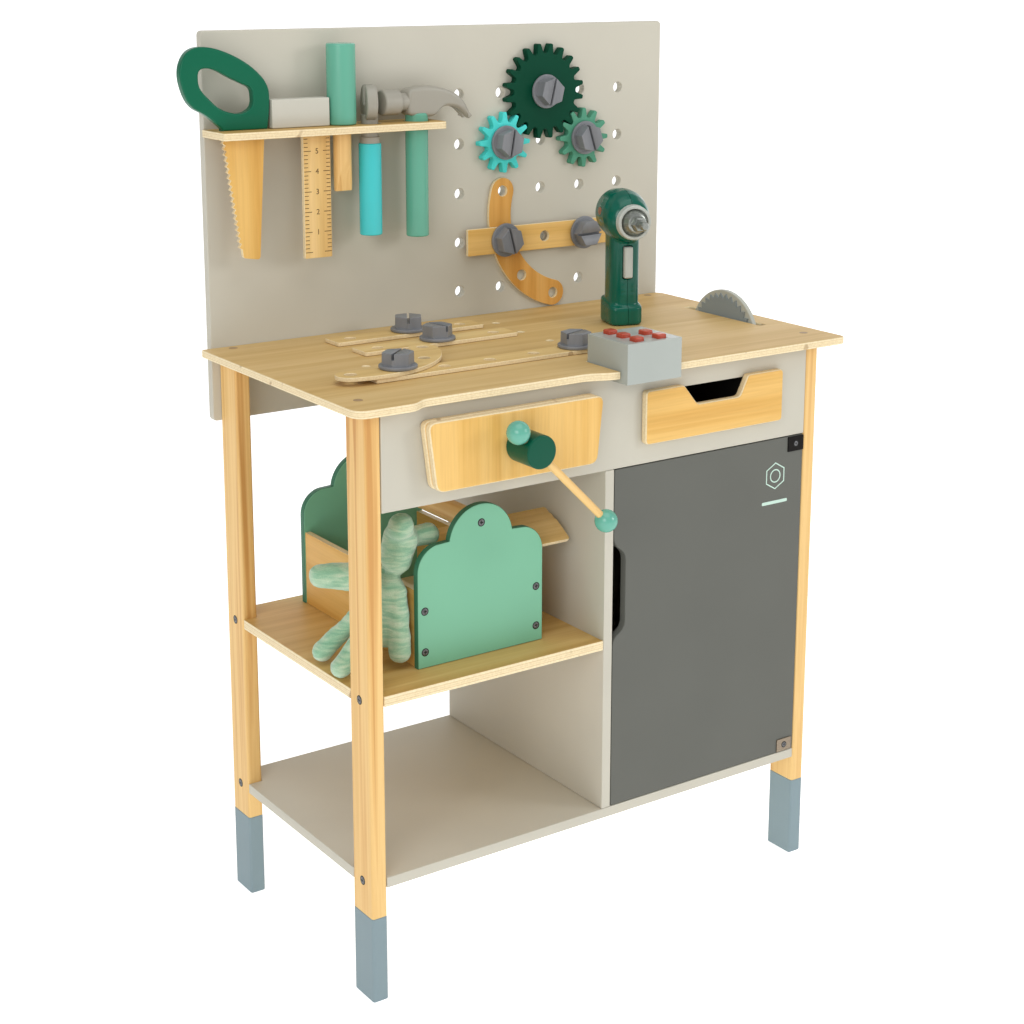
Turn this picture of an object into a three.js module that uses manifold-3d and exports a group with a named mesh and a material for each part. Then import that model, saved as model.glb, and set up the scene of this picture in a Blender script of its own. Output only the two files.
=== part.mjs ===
// Toy workbench: a plywood bench with a peg board, tool rack, drawer, cupboard, vise, control box,
// circular saw, toy tools, gears, bolts, strips, a tool box and a soft rabbit.
// Millimetres, +Z up. While it is drawn, x = 0 is midway between the legs, y = 0 is the front face
// of the front legs and z = 0 is the floor. The finished group is centred over its own footprint.
import * as THREE from 'three';
import { mergeVertices } from 'three/addons/utils/BufferGeometryUtils.js';
import Module from 'manifold-3d';

const wasm = await Module();
wasm.setup();

// ---------------------------------------------------------------- driving dimensions
const GAP = 0.3;                 // air between pieces that touch
const SPAN_X = 560;              // outside of the left legs to outside of the right legs
const SPAN_Y = 300;              // front of the front legs to back of the rear legs
const LEG_X = 16.5;
const LEG_Y = 36.5;
const TOP_Z = 600;               // worktop's upper face
const PLY = 8;                   // worktop and rack plywood
const STRIP_T = 4.2;             // strips and loose planks
const TOP_HALF_X = 300;
const TOP_FRONT_Y = -22;
const RECESS_Y = -12;            // the worktop's front edge over the vise
const BOARD = 10;                // painted panels and the peg board
const SHELF_LOW_Z = 128.2;       // upper face of the bottom shelf
const SHELF_MID_Z = 314.2;       // upper face of the middle shelf
const SHELF_T = 10.5;
const APRON_Z = 494;             // lower edge of the front apron
const DIVIDER_X = [-4.8, 6.1];
const PEG_Z = [522.4, 922.2];
const PEG_X = [-288.5, 296.5];
const PEG_HOLE_R = 6;
const PEG_PITCH = 54.64;
const PEG_FIRST = [16, 847.7];   // centre of the upper left hole
const PEG_ROWS = 5;

const LEG_EDGE = SPAN_X / 2 - LEG_X;                 // inner face of the legs
const UNDER_TOP = TOP_Z - PLY;                       // underside of the worktop
const PEG_FACE = SPAN_Y + GAP;                       // front face of the peg board
const pegX = (column) => PEG_FIRST[0] + PEG_PITCH * column;
const pegZ = (row) => PEG_FIRST[1] - PEG_PITCH * row;

// ---------------------------------------------------------------- materials
const paint = (color, roughness = 0.55, metalness = 0) =>
  new THREE.MeshStandardMaterial({ color, roughness, metalness });
const PLYWOOD = paint(0xe1be82, 0.6);
const PINE = paint(0xebbe6e, 0.6);
const GREY = paint(0xc3beaf);
const DARK_GREY = paint(0x696962);
const MINT = paint(0x78b696);
const CYAN = paint(0x4bdcd2);
const DARK_GREEN = paint(0x004b32);
const SAW_GREEN = paint(0x236950);
const DRILL_GREEN = paint(0x006950, 0.3);
const STONE = paint(0xaaa596);
const BOLT_GREY = paint(0x7d7d82, 0.4);
const BLUE_GREY = paint(0x98a0a0, 0.35);
const BUTTON_RED = paint(0xaa4632, 0.4);
const CHROME = paint(0xc0c4c2, 0.3, 0.6);
const PLUSH = paint(0x9fcfae, 0.95);

// ---------------------------------------------------------------- solids
function toManifold(geometry) {
  const bare = geometry.index ? geometry.toNonIndexed() : geometry.clone();
  bare.deleteAttribute('normal');
  bare.deleteAttribute('uv');
  const merged = mergeVertices(bare, 1e-4);
  return new wasm.Manifold(new wasm.Mesh({
    numProp: 3,
    vertProperties: new Float32Array(merged.attributes.position.array),
    triVerts: new Uint32Array(merged.index.array),
  }));
}

function toGeometry(manifold) {
  const { vertProperties, triVerts } = manifold.getMesh();
  const geometry = new THREE.BufferGeometry();
  geometry.setAttribute('position', new THREE.BufferAttribute(new Float32Array(vertProperties), 3));
  geometry.setIndex(new THREE.BufferAttribute(new Uint32Array(triVerts), 1));
  geometry.computeVertexNormals();
  return geometry;
}

function cut(geometry, ...tools) {
  const left = tools.reduce((solid, tool) => solid.subtract(toManifold(tool)), toManifold(geometry));
  return toGeometry(left);
}

function join(first, ...others) {
  const whole = others.reduce((solid, other) => solid.add(toManifold(other)), toManifold(first));
  return toGeometry(whole);
}

function block([x0, x1], [y0, y1], [z0, z1]) {
  const geometry = new THREE.BoxGeometry(x1 - x0, y1 - y0, z1 - z0);
  geometry.translate((x0 + x1) / 2, (y0 + y1) / 2, (z0 + z1) / 2);
  return geometry;
}

// A closed outline of [x, y, corner radius] points; a missing radius leaves the corner sharp, and a
// radius takes up at most just under half of the edges beside it.
function outline(points) {
  const shape = new THREE.Shape();
  points.forEach(([x, y, r = 0], i) => {
    const corner = new THREE.Vector2(x, y);
    const before = new THREE.Vector2(...points[(i + points.length - 1) % points.length]).sub(corner);
    const after = new THREE.Vector2(...points[(i + 1) % points.length]).sub(corner);
    const enter = before.setLength(Math.min(r, 0.48 * before.length())).add(corner);
    const leave = after.setLength(Math.min(r, 0.48 * after.length())).add(corner);
    if (i === 0) shape.moveTo(enter.x, enter.y);
    else shape.lineTo(enter.x, enter.y);
    if (r > 0) shape.quadraticCurveTo(x, y, leave.x, leave.y);
  });
  shape.closePath();
  return shape;
}

function roundHole(shape, x, y, r, sides = 12) {
  const around = Array.from({ length: sides }, (_, i) => -2 * Math.PI * i / sides);
  shape.holes.push(new THREE.Path().setFromPoints(
    around.map((angle) => new THREE.Vector2(x + r * Math.cos(angle), y + r * Math.sin(angle)))));
}

function slotHole(shape, [x0, x1], [y0, y1]) {
  shape.holes.push(new THREE.Path().setFromPoints([
    new THREE.Vector2(x0, y0), new THREE.Vector2(x0, y1),
    new THREE.Vector2(x1, y1), new THREE.Vector2(x1, y0)]));
}

// Lying sheet: the outline is in X and Y, the sheet runs from z up to z + t.
function sheet(shape, z, t, curveSegments = 3) {
  const geometry = new THREE.ExtrudeGeometry(shape, { depth: t, bevelEnabled: false, curveSegments });
  return geometry.translate(0, 0, z);
}

// Standing plate seen from the front: the outline is in X and Z, the plate runs from y back to y + t.
function plate(shape, y, t, curveSegments = 3) {
  return sheet(shape, 0, t, curveSegments).rotateX(Math.PI / 2).translate(0, y + t, 0);
}

// Standing panel seen from the right: the outline is in Y and Z, the panel runs from x to x + t.
function sidePanel(shape, x, t) {
  return sheet(shape, 0, t).rotateX(Math.PI / 2).rotateZ(Math.PI / 2).translate(x, 0, 0);
}

function rodY(r, x, z, [y0, y1], sides = 16) {
  const geometry = new THREE.CylinderGeometry(r, r, y1 - y0, sides);
  return geometry.translate(x, (y0 + y1) / 2, z);
}

function rodZ(r, x, y, [z0, z1], sides = 16, topR = r) {
  const geometry = new THREE.CylinderGeometry(topR, r, z1 - z0, sides).rotateX(Math.PI / 2);
  return geometry.translate(x, y, (z0 + z1) / 2);
}

function rodX(r, y, z, [x0, x1], sides = 16) {
  const geometry = new THREE.CylinderGeometry(r, r, x1 - x0, sides).rotateZ(Math.PI / 2);
  return geometry.translate((x0 + x1) / 2, y, z);
}

const bench = new THREE.Group();
function add(name, geometry, material) {
  const mesh = new THREE.Mesh(geometry, material);
  mesh.name = name;
  bench.add(mesh);
}

// ---------------------------------------------------------------- frame
function addLegs() {
  const round = 3;
  const places = {
    leg_front_left: [-SPAN_X / 2, 0],
    leg_front_right: [LEG_EDGE, 0],
    leg_rear_left: [-SPAN_X / 2, SPAN_Y - LEG_Y],
    leg_rear_right: [LEG_EDGE, SPAN_Y - LEG_Y],
  };
  for (const [name, [x, y]] of Object.entries(places)) {
    const section = outline([[x, y, round], [x + LEG_X, y, round],
      [x + LEG_X, y + LEG_Y, round], [x, y + LEG_Y, round]]);
    add(name, sheet(section, 0, UNDER_TOP - GAP), PINE);
  }
}

const SHELF_X = SPAN_X / 2 - 0.5;       // shelves end just inside the legs' outer faces
const SHELF_BACK = 298;
const NOTCH_X = LEG_EDGE - GAP;
const NOTCH_Y = LEG_Y + GAP;

function addShelves() {
  const backNotch = SPAN_Y - NOTCH_Y;
  const low = outline([[-NOTCH_X, 0], [NOTCH_X, 0], [NOTCH_X, NOTCH_Y], [SHELF_X, NOTCH_Y],
    [SHELF_X, backNotch], [NOTCH_X, backNotch], [NOTCH_X, SHELF_BACK], [-NOTCH_X, SHELF_BACK],
    [-NOTCH_X, backNotch], [-SHELF_X, backNotch], [-SHELF_X, NOTCH_Y], [-NOTCH_X, NOTCH_Y]]);
  add('bottom_shelf', sheet(low, SHELF_LOW_Z - SHELF_T, SHELF_T), GREY);
  const right = DIVIDER_X[0] - GAP;
  const middle = outline([[-NOTCH_X, 0], [right, 0], [right, SHELF_BACK], [-NOTCH_X, SHELF_BACK],
    [-NOTCH_X, backNotch], [-SHELF_X, backNotch], [-SHELF_X, NOTCH_Y], [-NOTCH_X, NOTCH_Y]]);
  add('middle_shelf', sheet(middle, SHELF_MID_Z - SHELF_T, SHELF_T), PLYWOOD);
}

// ---------------------------------------------------------------- control box sizes
const BOX_X = [-3, 65];
const BOX_Y = [-31, 35];
const BOX_Z = [587, 628];
const BOX_WALL = 3;
const BUTTON_X = [17, 45];
const BUTTON_Y = [-19, 2.5, 23.8];
const BUTTON_HALF = 5.8;
const BUTTON_PROUD = 4;
const BUTTON_TRAVEL = 2;

// ---------------------------------------------------------------- circular saw sizes
const BLADE_R = 56;
const BLADE_Y = 139.6;
const BLADE_Z = 573.5;
const BLADE_X = [264, 271];
const AXLE_R = 5;
const SIDE_T = 6;

const DIVIDER_BACK = 296;
const BACK_Y = [286, 290];        // thin panel behind the cupboard
const BLADE_CLEAR = 4;
const BOX_SLOT = BOX_Y[1] + 0.5;  // back of the notches round the control box

function addCupboard() {
  const low = SHELF_LOW_Z + GAP;
  const high = UNDER_TOP - GAP;
  const behindApron = BOARD + GAP;
  const divider = outline([[0, low], [DIVIDER_BACK, low], [DIVIDER_BACK, high], [BOX_SLOT, high],
    [BOX_SLOT, BOX_Z[0] - GAP], [behindApron, BOX_Z[0] - GAP],
    [behindApron, APRON_Z - GAP], [0, APRON_Z - GAP]]);
  add('divider_panel', sidePanel(divider, DIVIDER_X[0], DIVIDER_X[1] - DIVIDER_X[0]), GREY);

  const side = outline([[NOTCH_Y, low], [SPAN_Y - NOTCH_Y, low],
    [SPAN_Y - NOTCH_Y, high], [NOTCH_Y, high]]);
  roundHole(side, BLADE_Y, BLADE_Z, AXLE_R + 0.5);
  add('right_side_panel', sidePanel(side, SHELF_X - SIDE_T, SIDE_T), GREY);

  const left = DIVIDER_X[1] + GAP;
  add('cupboard_back', block([left, NOTCH_X], BACK_Y, [low, high]), GREY);

  const inner = SHELF_X - SIDE_T - GAP;
  const bladeLeft = BLADE_X[0] - BLADE_CLEAR / 2;
  const bladeY = [BLADE_Y - BLADE_R - BLADE_CLEAR, BLADE_Y + BLADE_R + BLADE_CLEAR];
  const ceiling = outline([[left, behindApron], [NOTCH_X, behindApron], [NOTCH_X, NOTCH_Y],
    [inner, NOTCH_Y], [inner, bladeY[0]], [bladeLeft, bladeY[0]], [bladeLeft, bladeY[1]],
    [inner, bladeY[1]], [inner, SPAN_Y - NOTCH_Y], [NOTCH_X, SPAN_Y - NOTCH_Y],
    [NOTCH_X, BACK_Y[0] - GAP], [left, BACK_Y[0] - GAP]]);
  add('cupboard_ceiling', sheet(ceiling, DRAWER_Z[0] - GAP - PLY, PLY), GREY);
}

// ---------------------------------------------------------------- drawer
const DRAWER_X = [39, 223];
const DRAWER_FRONT_Z = [515.5, 571.5];
const DRAWER_FRONT_T = 9;
const TRAY_X = [47, 215];
const DRAWER_Z = [518.5, 566];
const TRAY_DEPTH = 200;
const TRAY_WALL = 5;
const GRIP_X = [88, 174];         // finger cutout at the top of the drawer front
const GRIP_LOW_X = [106, 163];
const GRIP_LOW_Z = 549.5;

function addDrawer() {
  const [x0, x1] = DRAWER_X;
  const [z0, z1] = DRAWER_FRONT_Z;
  const front = outline([[x0, z0, 3], [x1, z0, 3], [x1, z1, 3], [GRIP_X[1], z1, 2],
    [GRIP_LOW_X[1], GRIP_LOW_Z, 2], [GRIP_LOW_X[0], GRIP_LOW_Z, 2], [GRIP_X[0], z1, 2], [x0, z1, 3]]);
  add('drawer_front', plate(front, -DRAWER_FRONT_T - GAP, DRAWER_FRONT_T), PLYWOOD);
  const tray = cut(
    block(TRAY_X, [0, TRAY_DEPTH], DRAWER_Z),
    block([TRAY_X[0] + TRAY_WALL, TRAY_X[1] - TRAY_WALL], [TRAY_WALL, TRAY_DEPTH - TRAY_WALL],
      [DRAWER_Z[0] + TRAY_WALL, DRAWER_Z[1] + 1]),
    block([GRIP_X[0] - 8, GRIP_X[1] + 8], [-1, TRAY_WALL + 1], [GRIP_LOW_Z - 3.5, DRAWER_Z[1] + 1]));
  add('drawer_tray', tray, PLYWOOD);
}

// ---------------------------------------------------------------- vise
const SCREW_X = -122;
const SCREW_Z = 543.5;
const SHANK_R = 7;
const SHANK_END = 46;
const JAW_T = 9;
const HUB_R = 16.5;
const HUB_Y = [-56, -19.2];
const HANDLE_Y = -45;
const HANDLE_R = 3.8;
const BALL_R = 11.5;
const HANDLE_ENDS = [27.8, -119];      // ball centres, measured along the handle from the hub's axis

function jawPlate(y) {
  const shape = outline([[-214, 509.5, 7], [-28.5, 509.5, 7], [-21, 577.5, 7], [-223, 577.5, 7]]);
  roundHole(shape, SCREW_X, SCREW_Z, SHANK_R + 0.7);
  return plate(shape, y, JAW_T);
}

function addVise() {
  add('vise_fixed_jaw', jawPlate(-JAW_T - GAP), PLYWOOD);
  add('vise_moving_jaw', jawPlate(-2 * (JAW_T + GAP)), PLYWOOD);
  const along = new THREE.Vector3(-Math.SQRT1_2, 0, Math.SQRT1_2);   // up the handle, to the left
  const handleRod = (r, from, to, sides) => {
    const rod = new THREE.CylinderGeometry(r, r, to - from, sides);
    rod.translate(0, (from + to) / 2, 0);
    rod.applyQuaternion(new THREE.Quaternion().setFromUnitVectors(new THREE.Vector3(0, 1, 0), along));
    return rod.translate(SCREW_X, HANDLE_Y, SCREW_Z);
  };
  const screw = cut(
    join(rodY(HUB_R, SCREW_X, SCREW_Z, HUB_Y, 24), rodY(SHANK_R, SCREW_X, SCREW_Z, [HUB_Y[1] - 1, SHANK_END])),
    handleRod(HANDLE_R + 0.5, -HUB_R - 5, HUB_R + 5, 12));
  add('vise_screw', screw, DARK_GREEN);
  const ball = (at) => new THREE.SphereGeometry(BALL_R, 12, 8)
    .translate(SCREW_X + along.x * at, HANDLE_Y, SCREW_Z + along.z * at);
  const handle = join(handleRod(HANDLE_R, HANDLE_ENDS[1], HANDLE_ENDS[0], 10),
    ball(HANDLE_ENDS[0]), ball(HANDLE_ENDS[1]));
  add('vise_handle', handle, PINE);
}

// ---------------------------------------------------------------- apron, door, worktop
function addApron() {
  const high = UNDER_TOP - GAP;
  const shape = outline([[-NOTCH_X, APRON_Z], [NOTCH_X, APRON_Z], [NOTCH_X, high],
    [BOX_X[1] + GAP, high], [BOX_X[1] + GAP, BOX_Z[0] - GAP], [BOX_X[0] - GAP, BOX_Z[0] - GAP],
    [BOX_X[0] - GAP, high], [-NOTCH_X, high]]);
  slotHole(shape, [TRAY_X[0] - 1.5, TRAY_X[1] + 1.5], [DRAWER_Z[0] - 1, DRAWER_Z[1] + 1.5]);
  roundHole(shape, SCREW_X, SCREW_Z, SHANK_R + 0.7);
  add('front_apron', plate(shape, 0, BOARD), GREY);
}

const DOOR_X = [7, 262.6];
const DOOR_Z = [129, 493];
const DOOR_T = 9;
const GRIP_Z = [312.7, 414.6];

function addDoor() {
  const [x0, x1] = DOOR_X;
  const [z0, z1] = DOOR_Z;
  const deep = x0 + 15.5;
  const shape = outline([[x0, z0, 1.5], [x1, z0, 1.5], [x1, z1, 1.5], [x0, z1, 1.5],
    [x0, GRIP_Z[1], 3], [deep, GRIP_Z[1] - 12, 4], [deep, GRIP_Z[0] + 10, 4], [x0, GRIP_Z[0], 3]]);
  add('door', plate(shape, 0, DOOR_T), DARK_GREY);
}

const TABLE_BOLTS = { strip_a: [-84, 247], strip_b: [-83, 190], strip_c: [15, 79], strip_d: [-197, 79] };
const TABLE_HOLES = [[25, 139], [25, 193], [30, 249], [-198, 139], [-128, 210]];
const TABLE_HOLE_R = 4;
const SAW_SLOT_Y = [75, 206];
const RECESS_X = [-237, -225, -37, -13];   // where the front edge steps back over the vise
const SHAFT_R = 5;
const SHAFT_HOLE_R = 6;

function addWorktop() {
  const [bx0, bx1] = [BOX_X[0] - 2, BOX_X[1] + 0.5];
  const shape = outline([[-TOP_HALF_X, TOP_FRONT_Y, 16], [RECESS_X[0], TOP_FRONT_Y, 4],
    [RECESS_X[1], RECESS_Y, 4], [RECESS_X[2], RECESS_Y, 4], [RECESS_X[3], TOP_FRONT_Y, 4],
    [bx0, TOP_FRONT_Y], [bx0, BOX_SLOT], [bx1, BOX_SLOT], [bx1, TOP_FRONT_Y], [TOP_HALF_X, TOP_FRONT_Y, 8],
    [TOP_HALF_X, SPAN_Y - GAP, 12], [-TOP_HALF_X, SPAN_Y - GAP, 3]]);
  Object.values(TABLE_BOLTS).forEach(([x, y]) => roundHole(shape, x, y, SHAFT_HOLE_R));
  TABLE_HOLES.forEach(([x, y]) => roundHole(shape, x, y, TABLE_HOLE_R));
  slotHole(shape, [BLADE_X[0] - 1.2, BLADE_X[1] + 1.2], SAW_SLOT_Y);
  add('worktop', sheet(shape, UNDER_TOP, PLY), PLYWOOD);
}

// ---------------------------------------------------------------- peg board and tool rack
const TOOL_Y = 275;               // middle plane of the hanging tools
const RACK_X = [-290, -31.5];
const RACK_Y = [249, SPAN_Y];
const RACK_Z = [816.8, 824.5];
const DRIVER_X = -144.5;
const WRENCH_X = -111.5;
const HAMMER_X = -54;

function addPegBoard() {
  const [x0, x1] = PEG_X;
  const [z0, z1] = PEG_Z;
  const shape = outline([[x0, z0, 5], [x1, z0, 5], [x1, z1, 5], [x0, z1, 5]]);
  for (let row = 0; row < PEG_ROWS; row += 1) {
    for (let column = 0; column < PEG_ROWS; column += 1) {
      roundHole(shape, pegX(column), pegZ(row), PEG_HOLE_R, 10);
    }
  }
  add('peg_board', plate(shape, PEG_FACE, BOARD), GREY);
}

function addToolRack() {
  const shape = outline([[RACK_X[0], RACK_Y[0], 4], [RACK_X[1], RACK_Y[0], 4],
    [RACK_X[1], RACK_Y[1]], [RACK_X[0], RACK_Y[1]]]);
  const through = [RACK_Z[0] - 5, RACK_Z[1] + 5];
  const slotY = [TOOL_Y - 3.6, TOOL_Y + 3.6];
  const rack = cut(sheet(shape, RACK_Z[0], RACK_Z[1] - RACK_Z[0]),
    block([-284, -231], slotY, through),
    block([-194.5, -157.5], slotY, through),
    rodZ(10.2, DRIVER_X, TOOL_Y, through),
    rodZ(12.8, WRENCH_X, TOOL_Y, through),
    rodZ(13.6, HAMMER_X, TOOL_Y, through));
  add('tool_rack', rack, PLYWOOD);
}

// ---------------------------------------------------------------- control box
function addControlBox() {
  const inset = ([low, high]) => [low + BOX_WALL, high - BOX_WALL];
  const places = [];
  BUTTON_X.forEach((x) => BUTTON_Y.forEach((y) => places.push([x, y])));
  places.pop();                                       // the rear place of the right column is plain
  const clear = BUTTON_HALF + 0.4;
  const holes = places.map(([x, y]) =>
    block([x - clear, x + clear], [y - clear, y + clear], [BOX_Z[1] - BOX_WALL - 1, BOX_Z[1] + 1]));
  const shell = cut(block(BOX_X, BOX_Y, BOX_Z),
    block(inset(BOX_X), inset(BOX_Y), [BOX_Z[0] - 1, BOX_Z[1] - BOX_WALL]), ...holes);
  add('control_box', shell, BLUE_GREY);
  places.forEach(([x, y], i) => {
    const half = BUTTON_HALF;
    const cap = outline([[x - half, y - half, 2], [x + half, y - half, 2],
      [x + half, y + half, 2], [x - half, y + half, 2]]);
    const foot = half + 2;
    const under = BOX_Z[1] - BOX_WALL - GAP;
    const button = join(
      sheet(cap, under - 1, BUTTON_PROUD + BOX_WALL + GAP + 1),
      block([x - foot, x + foot], [y - foot, y + foot], [under - 2, under]));
    add(`button_${i + 1}`, button, BUTTON_RED);
  });
}

// ---------------------------------------------------------------- circular saw
function addCircularSaw() {
  const blade = join(rodX(BLADE_R, BLADE_Y, BLADE_Z, BLADE_X, 48),
    rodX(AXLE_R, BLADE_Y, BLADE_Z, [BLADE_X[1] - 1, SHELF_X + 0.5], 12));
  add('circular_saw', blade, BLUE_GREY);
}

// ---------------------------------------------------------------- hanging tools
function spline(points) {
  const curve = new THREE.CatmullRomCurve3(points.map(([x, z]) => new THREE.Vector3(x, z, 0)), true);
  return curve.getPoints(points.length * 2).map((p) => new THREE.Vector2(p.x, p.y));
}

function addHandSaw() {
  const grip = outline([[-282, 816], [-282, 827, 4], [-298, 841, 10], [-318, 851, 16], [-328, 884, 22],
    [-316, 908, 18], [-288, 908, 22], [-252, 892, 20], [-229, 870, 16], [-229, 846, 14], [-232, 816]]);
  grip.holes.push(new THREE.Path(spline([[-304, 871], [-302, 884], [-290, 885], [-273, 876],
    [-255, 867], [-249, 856], [-254, 845], [-270, 843], [-292, 853]]).reverse()));
  const handle = cut(plate(grip, TOOL_Y - 5, 10),
    block([-290, -225], [TOOL_Y - 6, TOOL_Y + 6], [810, RACK_Z[1] + GAP]));
  const teeth = [];
  const steps = 19;
  const [run, drop, bite] = [16, 112, 2.5];            // the toothed edge leans in as it goes down
  for (let i = 0; i <= steps; i += 1) {
    const share = i / steps;
    teeth.push([-279 + run * share, 816 - drop * share]);
    if (i < steps) teeth.push([-279 - bite + run * share, 816 - drop * (i + 0.6) / steps]);
  }
  const blade = outline([[-234, 835], [-279, 835], ...teeth, [-262, 695, 3], [-243, 692, 4]]);
  add('hand_saw', join(handle, plate(blade, TOOL_Y - 2.5, 5)), SAW_GREEN);
}

function addSetSquare() {
  const stock = block([-228, -162], [TOOL_Y - 7, TOOL_Y + 7], [RACK_Z[1] + GAP, 854]);
  const ruler = block([-191.5, -160], [TOOL_Y - 2.5, TOOL_Y + 2.5], [688, RACK_Z[1] + 10]);
  add('set_square', join(stock, ruler), STONE);
}

function addScrewdriver() {
  const handle = rodZ(15.2, DRIVER_X, TOOL_Y, [RACK_Z[1] + GAP, 908], 20);
  const shank = rodZ(9.5, DRIVER_X, TOOL_Y, [756, RACK_Z[1] + 5]);
  const wedge = outline([[TOOL_Y - 12, 750], [TOOL_Y - 2.5, 750], [TOOL_Y - 12, 792]]);
  const otherWedge = outline([[TOOL_Y + 12, 750], [TOOL_Y + 2.5, 750], [TOOL_Y + 12, 792]].reverse());
  const tip = cut(shank, sidePanel(wedge, DRIVER_X - 15, 30), sidePanel(otherWedge, DRIVER_X - 15, 30));
  add('screwdriver', join(handle, tip), MINT);
}

function addWrench() {
  const head = new THREE.Shape().absarc(0, 846, 19.5, 0, 2 * Math.PI, false);
  const disc = plate(head, -6, 12, 8);
  const jawCut = block([-6.5, 6.5], [-10, 10], [844, 870]);
  const turned = cut(disc, jawCut, block([-30, 30], [-10, 10], [810, RACK_Z[1] + GAP]));
  turned.rotateZ(THREE.MathUtils.degToRad(72)).translate(WRENCH_X, TOOL_Y, 0);
  const neck = rodZ(9, WRENCH_X, TOOL_Y, [800, 836], 12);
  const handle = rodZ(11.2, WRENCH_X, TOOL_Y, [707, 806]);
  add('wrench', join(turned, neck, handle), CYAN);
}

function addHammer() {
  const axisZ = 845;
  const face = rodX(13.5, TOOL_Y, axisZ, [-98, -77]);
  const neck = rodX(9.5, TOOL_Y, axisZ, [-78, -62], 12);
  const profile = outline([[-69, 831, 4], [-36, 828, 8], [-25, 840, 12], [-6, 838, 10], [8, 824, 1.5],
    [9.5, 829, 2], [0, 846, 12], [-18, 857, 14], [-46, 862.5, 10], [-69, 858, 5]]);
  const claw = cut(plate(profile, TOOL_Y - 10.5, 21, 2),
    block([-22, 14], [TOOL_Y - 2.2, TOOL_Y + 2.2], [815, 856]));
  const handle = rodZ(12.2, HAMMER_X, TOOL_Y, [701, 836]);
  add('hammer', join(face, neck, claw, handle), STONE);
}

// ---------------------------------------------------------------- bolts and strips
const FLANGE_R = 19;
const FLANGE_T = 3.5;
const HEX_R = 16.2;
const HEX_H = 12.5;
const SLOT_W = 2.8;
const SLOT_DEPTH = 6;
const SHAFT_OUT = 5;              // how far a bolt's shaft runs past what it holds

// A bolt along +Z with the underside of its flange at z = 0 and its shaft going down.
function bolt(shaftLength, turn) {
  const flange = rodZ(FLANGE_R, 0, 0, [0, FLANGE_T], 20, FLANGE_R - 1);
  const hex = rodZ(HEX_R, 0, 0, [FLANGE_T - 1, FLANGE_T + HEX_H], 6, HEX_R - 1.2);
  const shaft = rodZ(SHAFT_R, 0, 0, [-shaftLength, 1], 12);
  const slot = block([-HEX_R, HEX_R], [-SLOT_W / 2, SLOT_W / 2],
    [FLANGE_T + HEX_H - SLOT_DEPTH, FLANGE_T + HEX_H + 1]);
  return cut(join(flange, hex, shaft), slot).rotateZ(THREE.MathUtils.degToRad(turn));
}

// A bolt through the peg board: the flange presses on a face at y, the slot turned by an angle.
function pegBolt(name, column, row, y, turn) {
  const geometry = bolt(PEG_FACE + BOARD + SHAFT_OUT - y, turn).rotateX(Math.PI / 2);
  add(name, geometry.translate(pegX(column), y, pegZ(row)), BOLT_GREY);
}

function tableBolt(name, [x, y], z, turn) {
  add(name, bolt(z - UNDER_TOP + SHAFT_OUT, turn).translate(x, y, z), BOLT_GREY);
}

const STRIP_W = 30;
const ARC_R = 98;                 // hole circle of the curved strips

function straightStrip(length, holes, z0) {
  const half = STRIP_W / 2;
  const shape = outline([[0, -half, 3], [length, -half, 3], [length, half, 3], [0, half, 3]]);
  holes.forEach((x) => roundHole(shape, x, 0, SHAFT_HOLE_R));
  return sheet(shape, z0, STRIP_T);
}

// A curved strip round the origin, its holes on the arc of radius ARC_R at the given angles.
function curvedStrip(angles, z0) {
  const half = STRIP_W / 2;
  const [first, last] = [angles[0], angles[angles.length - 1]].map(THREE.MathUtils.degToRad);
  const shape = new THREE.Shape();
  shape.absarc(0, 0, ARC_R + half, first, last, false);
  shape.absarc(ARC_R * Math.cos(last), ARC_R * Math.sin(last), half, last, last + Math.PI, false);
  shape.absarc(0, 0, ARC_R - half, last, first, true);
  shape.absarc(ARC_R * Math.cos(first), ARC_R * Math.sin(first), half, first + Math.PI, first + 2 * Math.PI, false);
  angles.map(THREE.MathUtils.degToRad).forEach((angle) =>
    roundHole(shape, ARC_R * Math.cos(angle), ARC_R * Math.sin(angle), SHAFT_HOLE_R));
  return sheet(shape, z0, STRIP_T, 5);
}

const BOARD_ARC = [163.8, 196.2, 226, 255.7];      // hole angles of the strip on the peg board
const TABLE_ARC = [-106.4, -75.8, -45.2, -14.6];   // and of the one on the worktop

function addStrips() {
  const upright = (geometry, x, y, z) => geometry.rotateX(Math.PI / 2).translate(x, y, z);
  const angle = THREE.MathUtils.degToRad(BOARD_ARC[1]);
  const arcCentre = [pegX(1) - ARC_R * Math.cos(angle), pegZ(3) - ARC_R * Math.sin(angle)];
  add('board_strip_curved',
    upright(curvedStrip(BOARD_ARC, 0), arcCentre[0], PEG_FACE - GAP, arcCentre[1]), PLYWOOD);
  const left = 21;
  const holes = [pegX(1), pegX(2), pegX(3)].map((x) => x - left);
  add('board_strip_straight',
    upright(straightStrip(2 * holes[1], holes, 0), left, PEG_FACE - STRIP_T - 2 * GAP, pegZ(3)), PLYWOOD);

  const lying = TOP_Z + GAP;
  const flat = (length, [x, y], fromEnd, spots) =>
    straightStrip(length, spots, lying).translate(x - fromEnd, y, 0);
  add('table_strip_a', flat(180, TABLE_BOLTS.strip_a, 93, [22, 93, 158]), PLYWOOD);
  add('table_strip_b', flat(186, TABLE_BOLTS.strip_b, 94, [22, 94, 164]), PLYWOOD);
  add('table_strip_c', flat(276, TABLE_BOLTS.strip_d, 32, [32, 85, 138, 191, 244]), PLYWOOD);
  const turned = THREE.MathUtils.degToRad(TABLE_ARC[1]);
  add('table_strip_curved', curvedStrip(TABLE_ARC, lying + STRIP_T + GAP).translate(
    TABLE_BOLTS.strip_d[0] - ARC_R * Math.cos(turned),
    TABLE_BOLTS.strip_d[1] - ARC_R * Math.sin(turned), 0), PLYWOOD);
}

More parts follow.
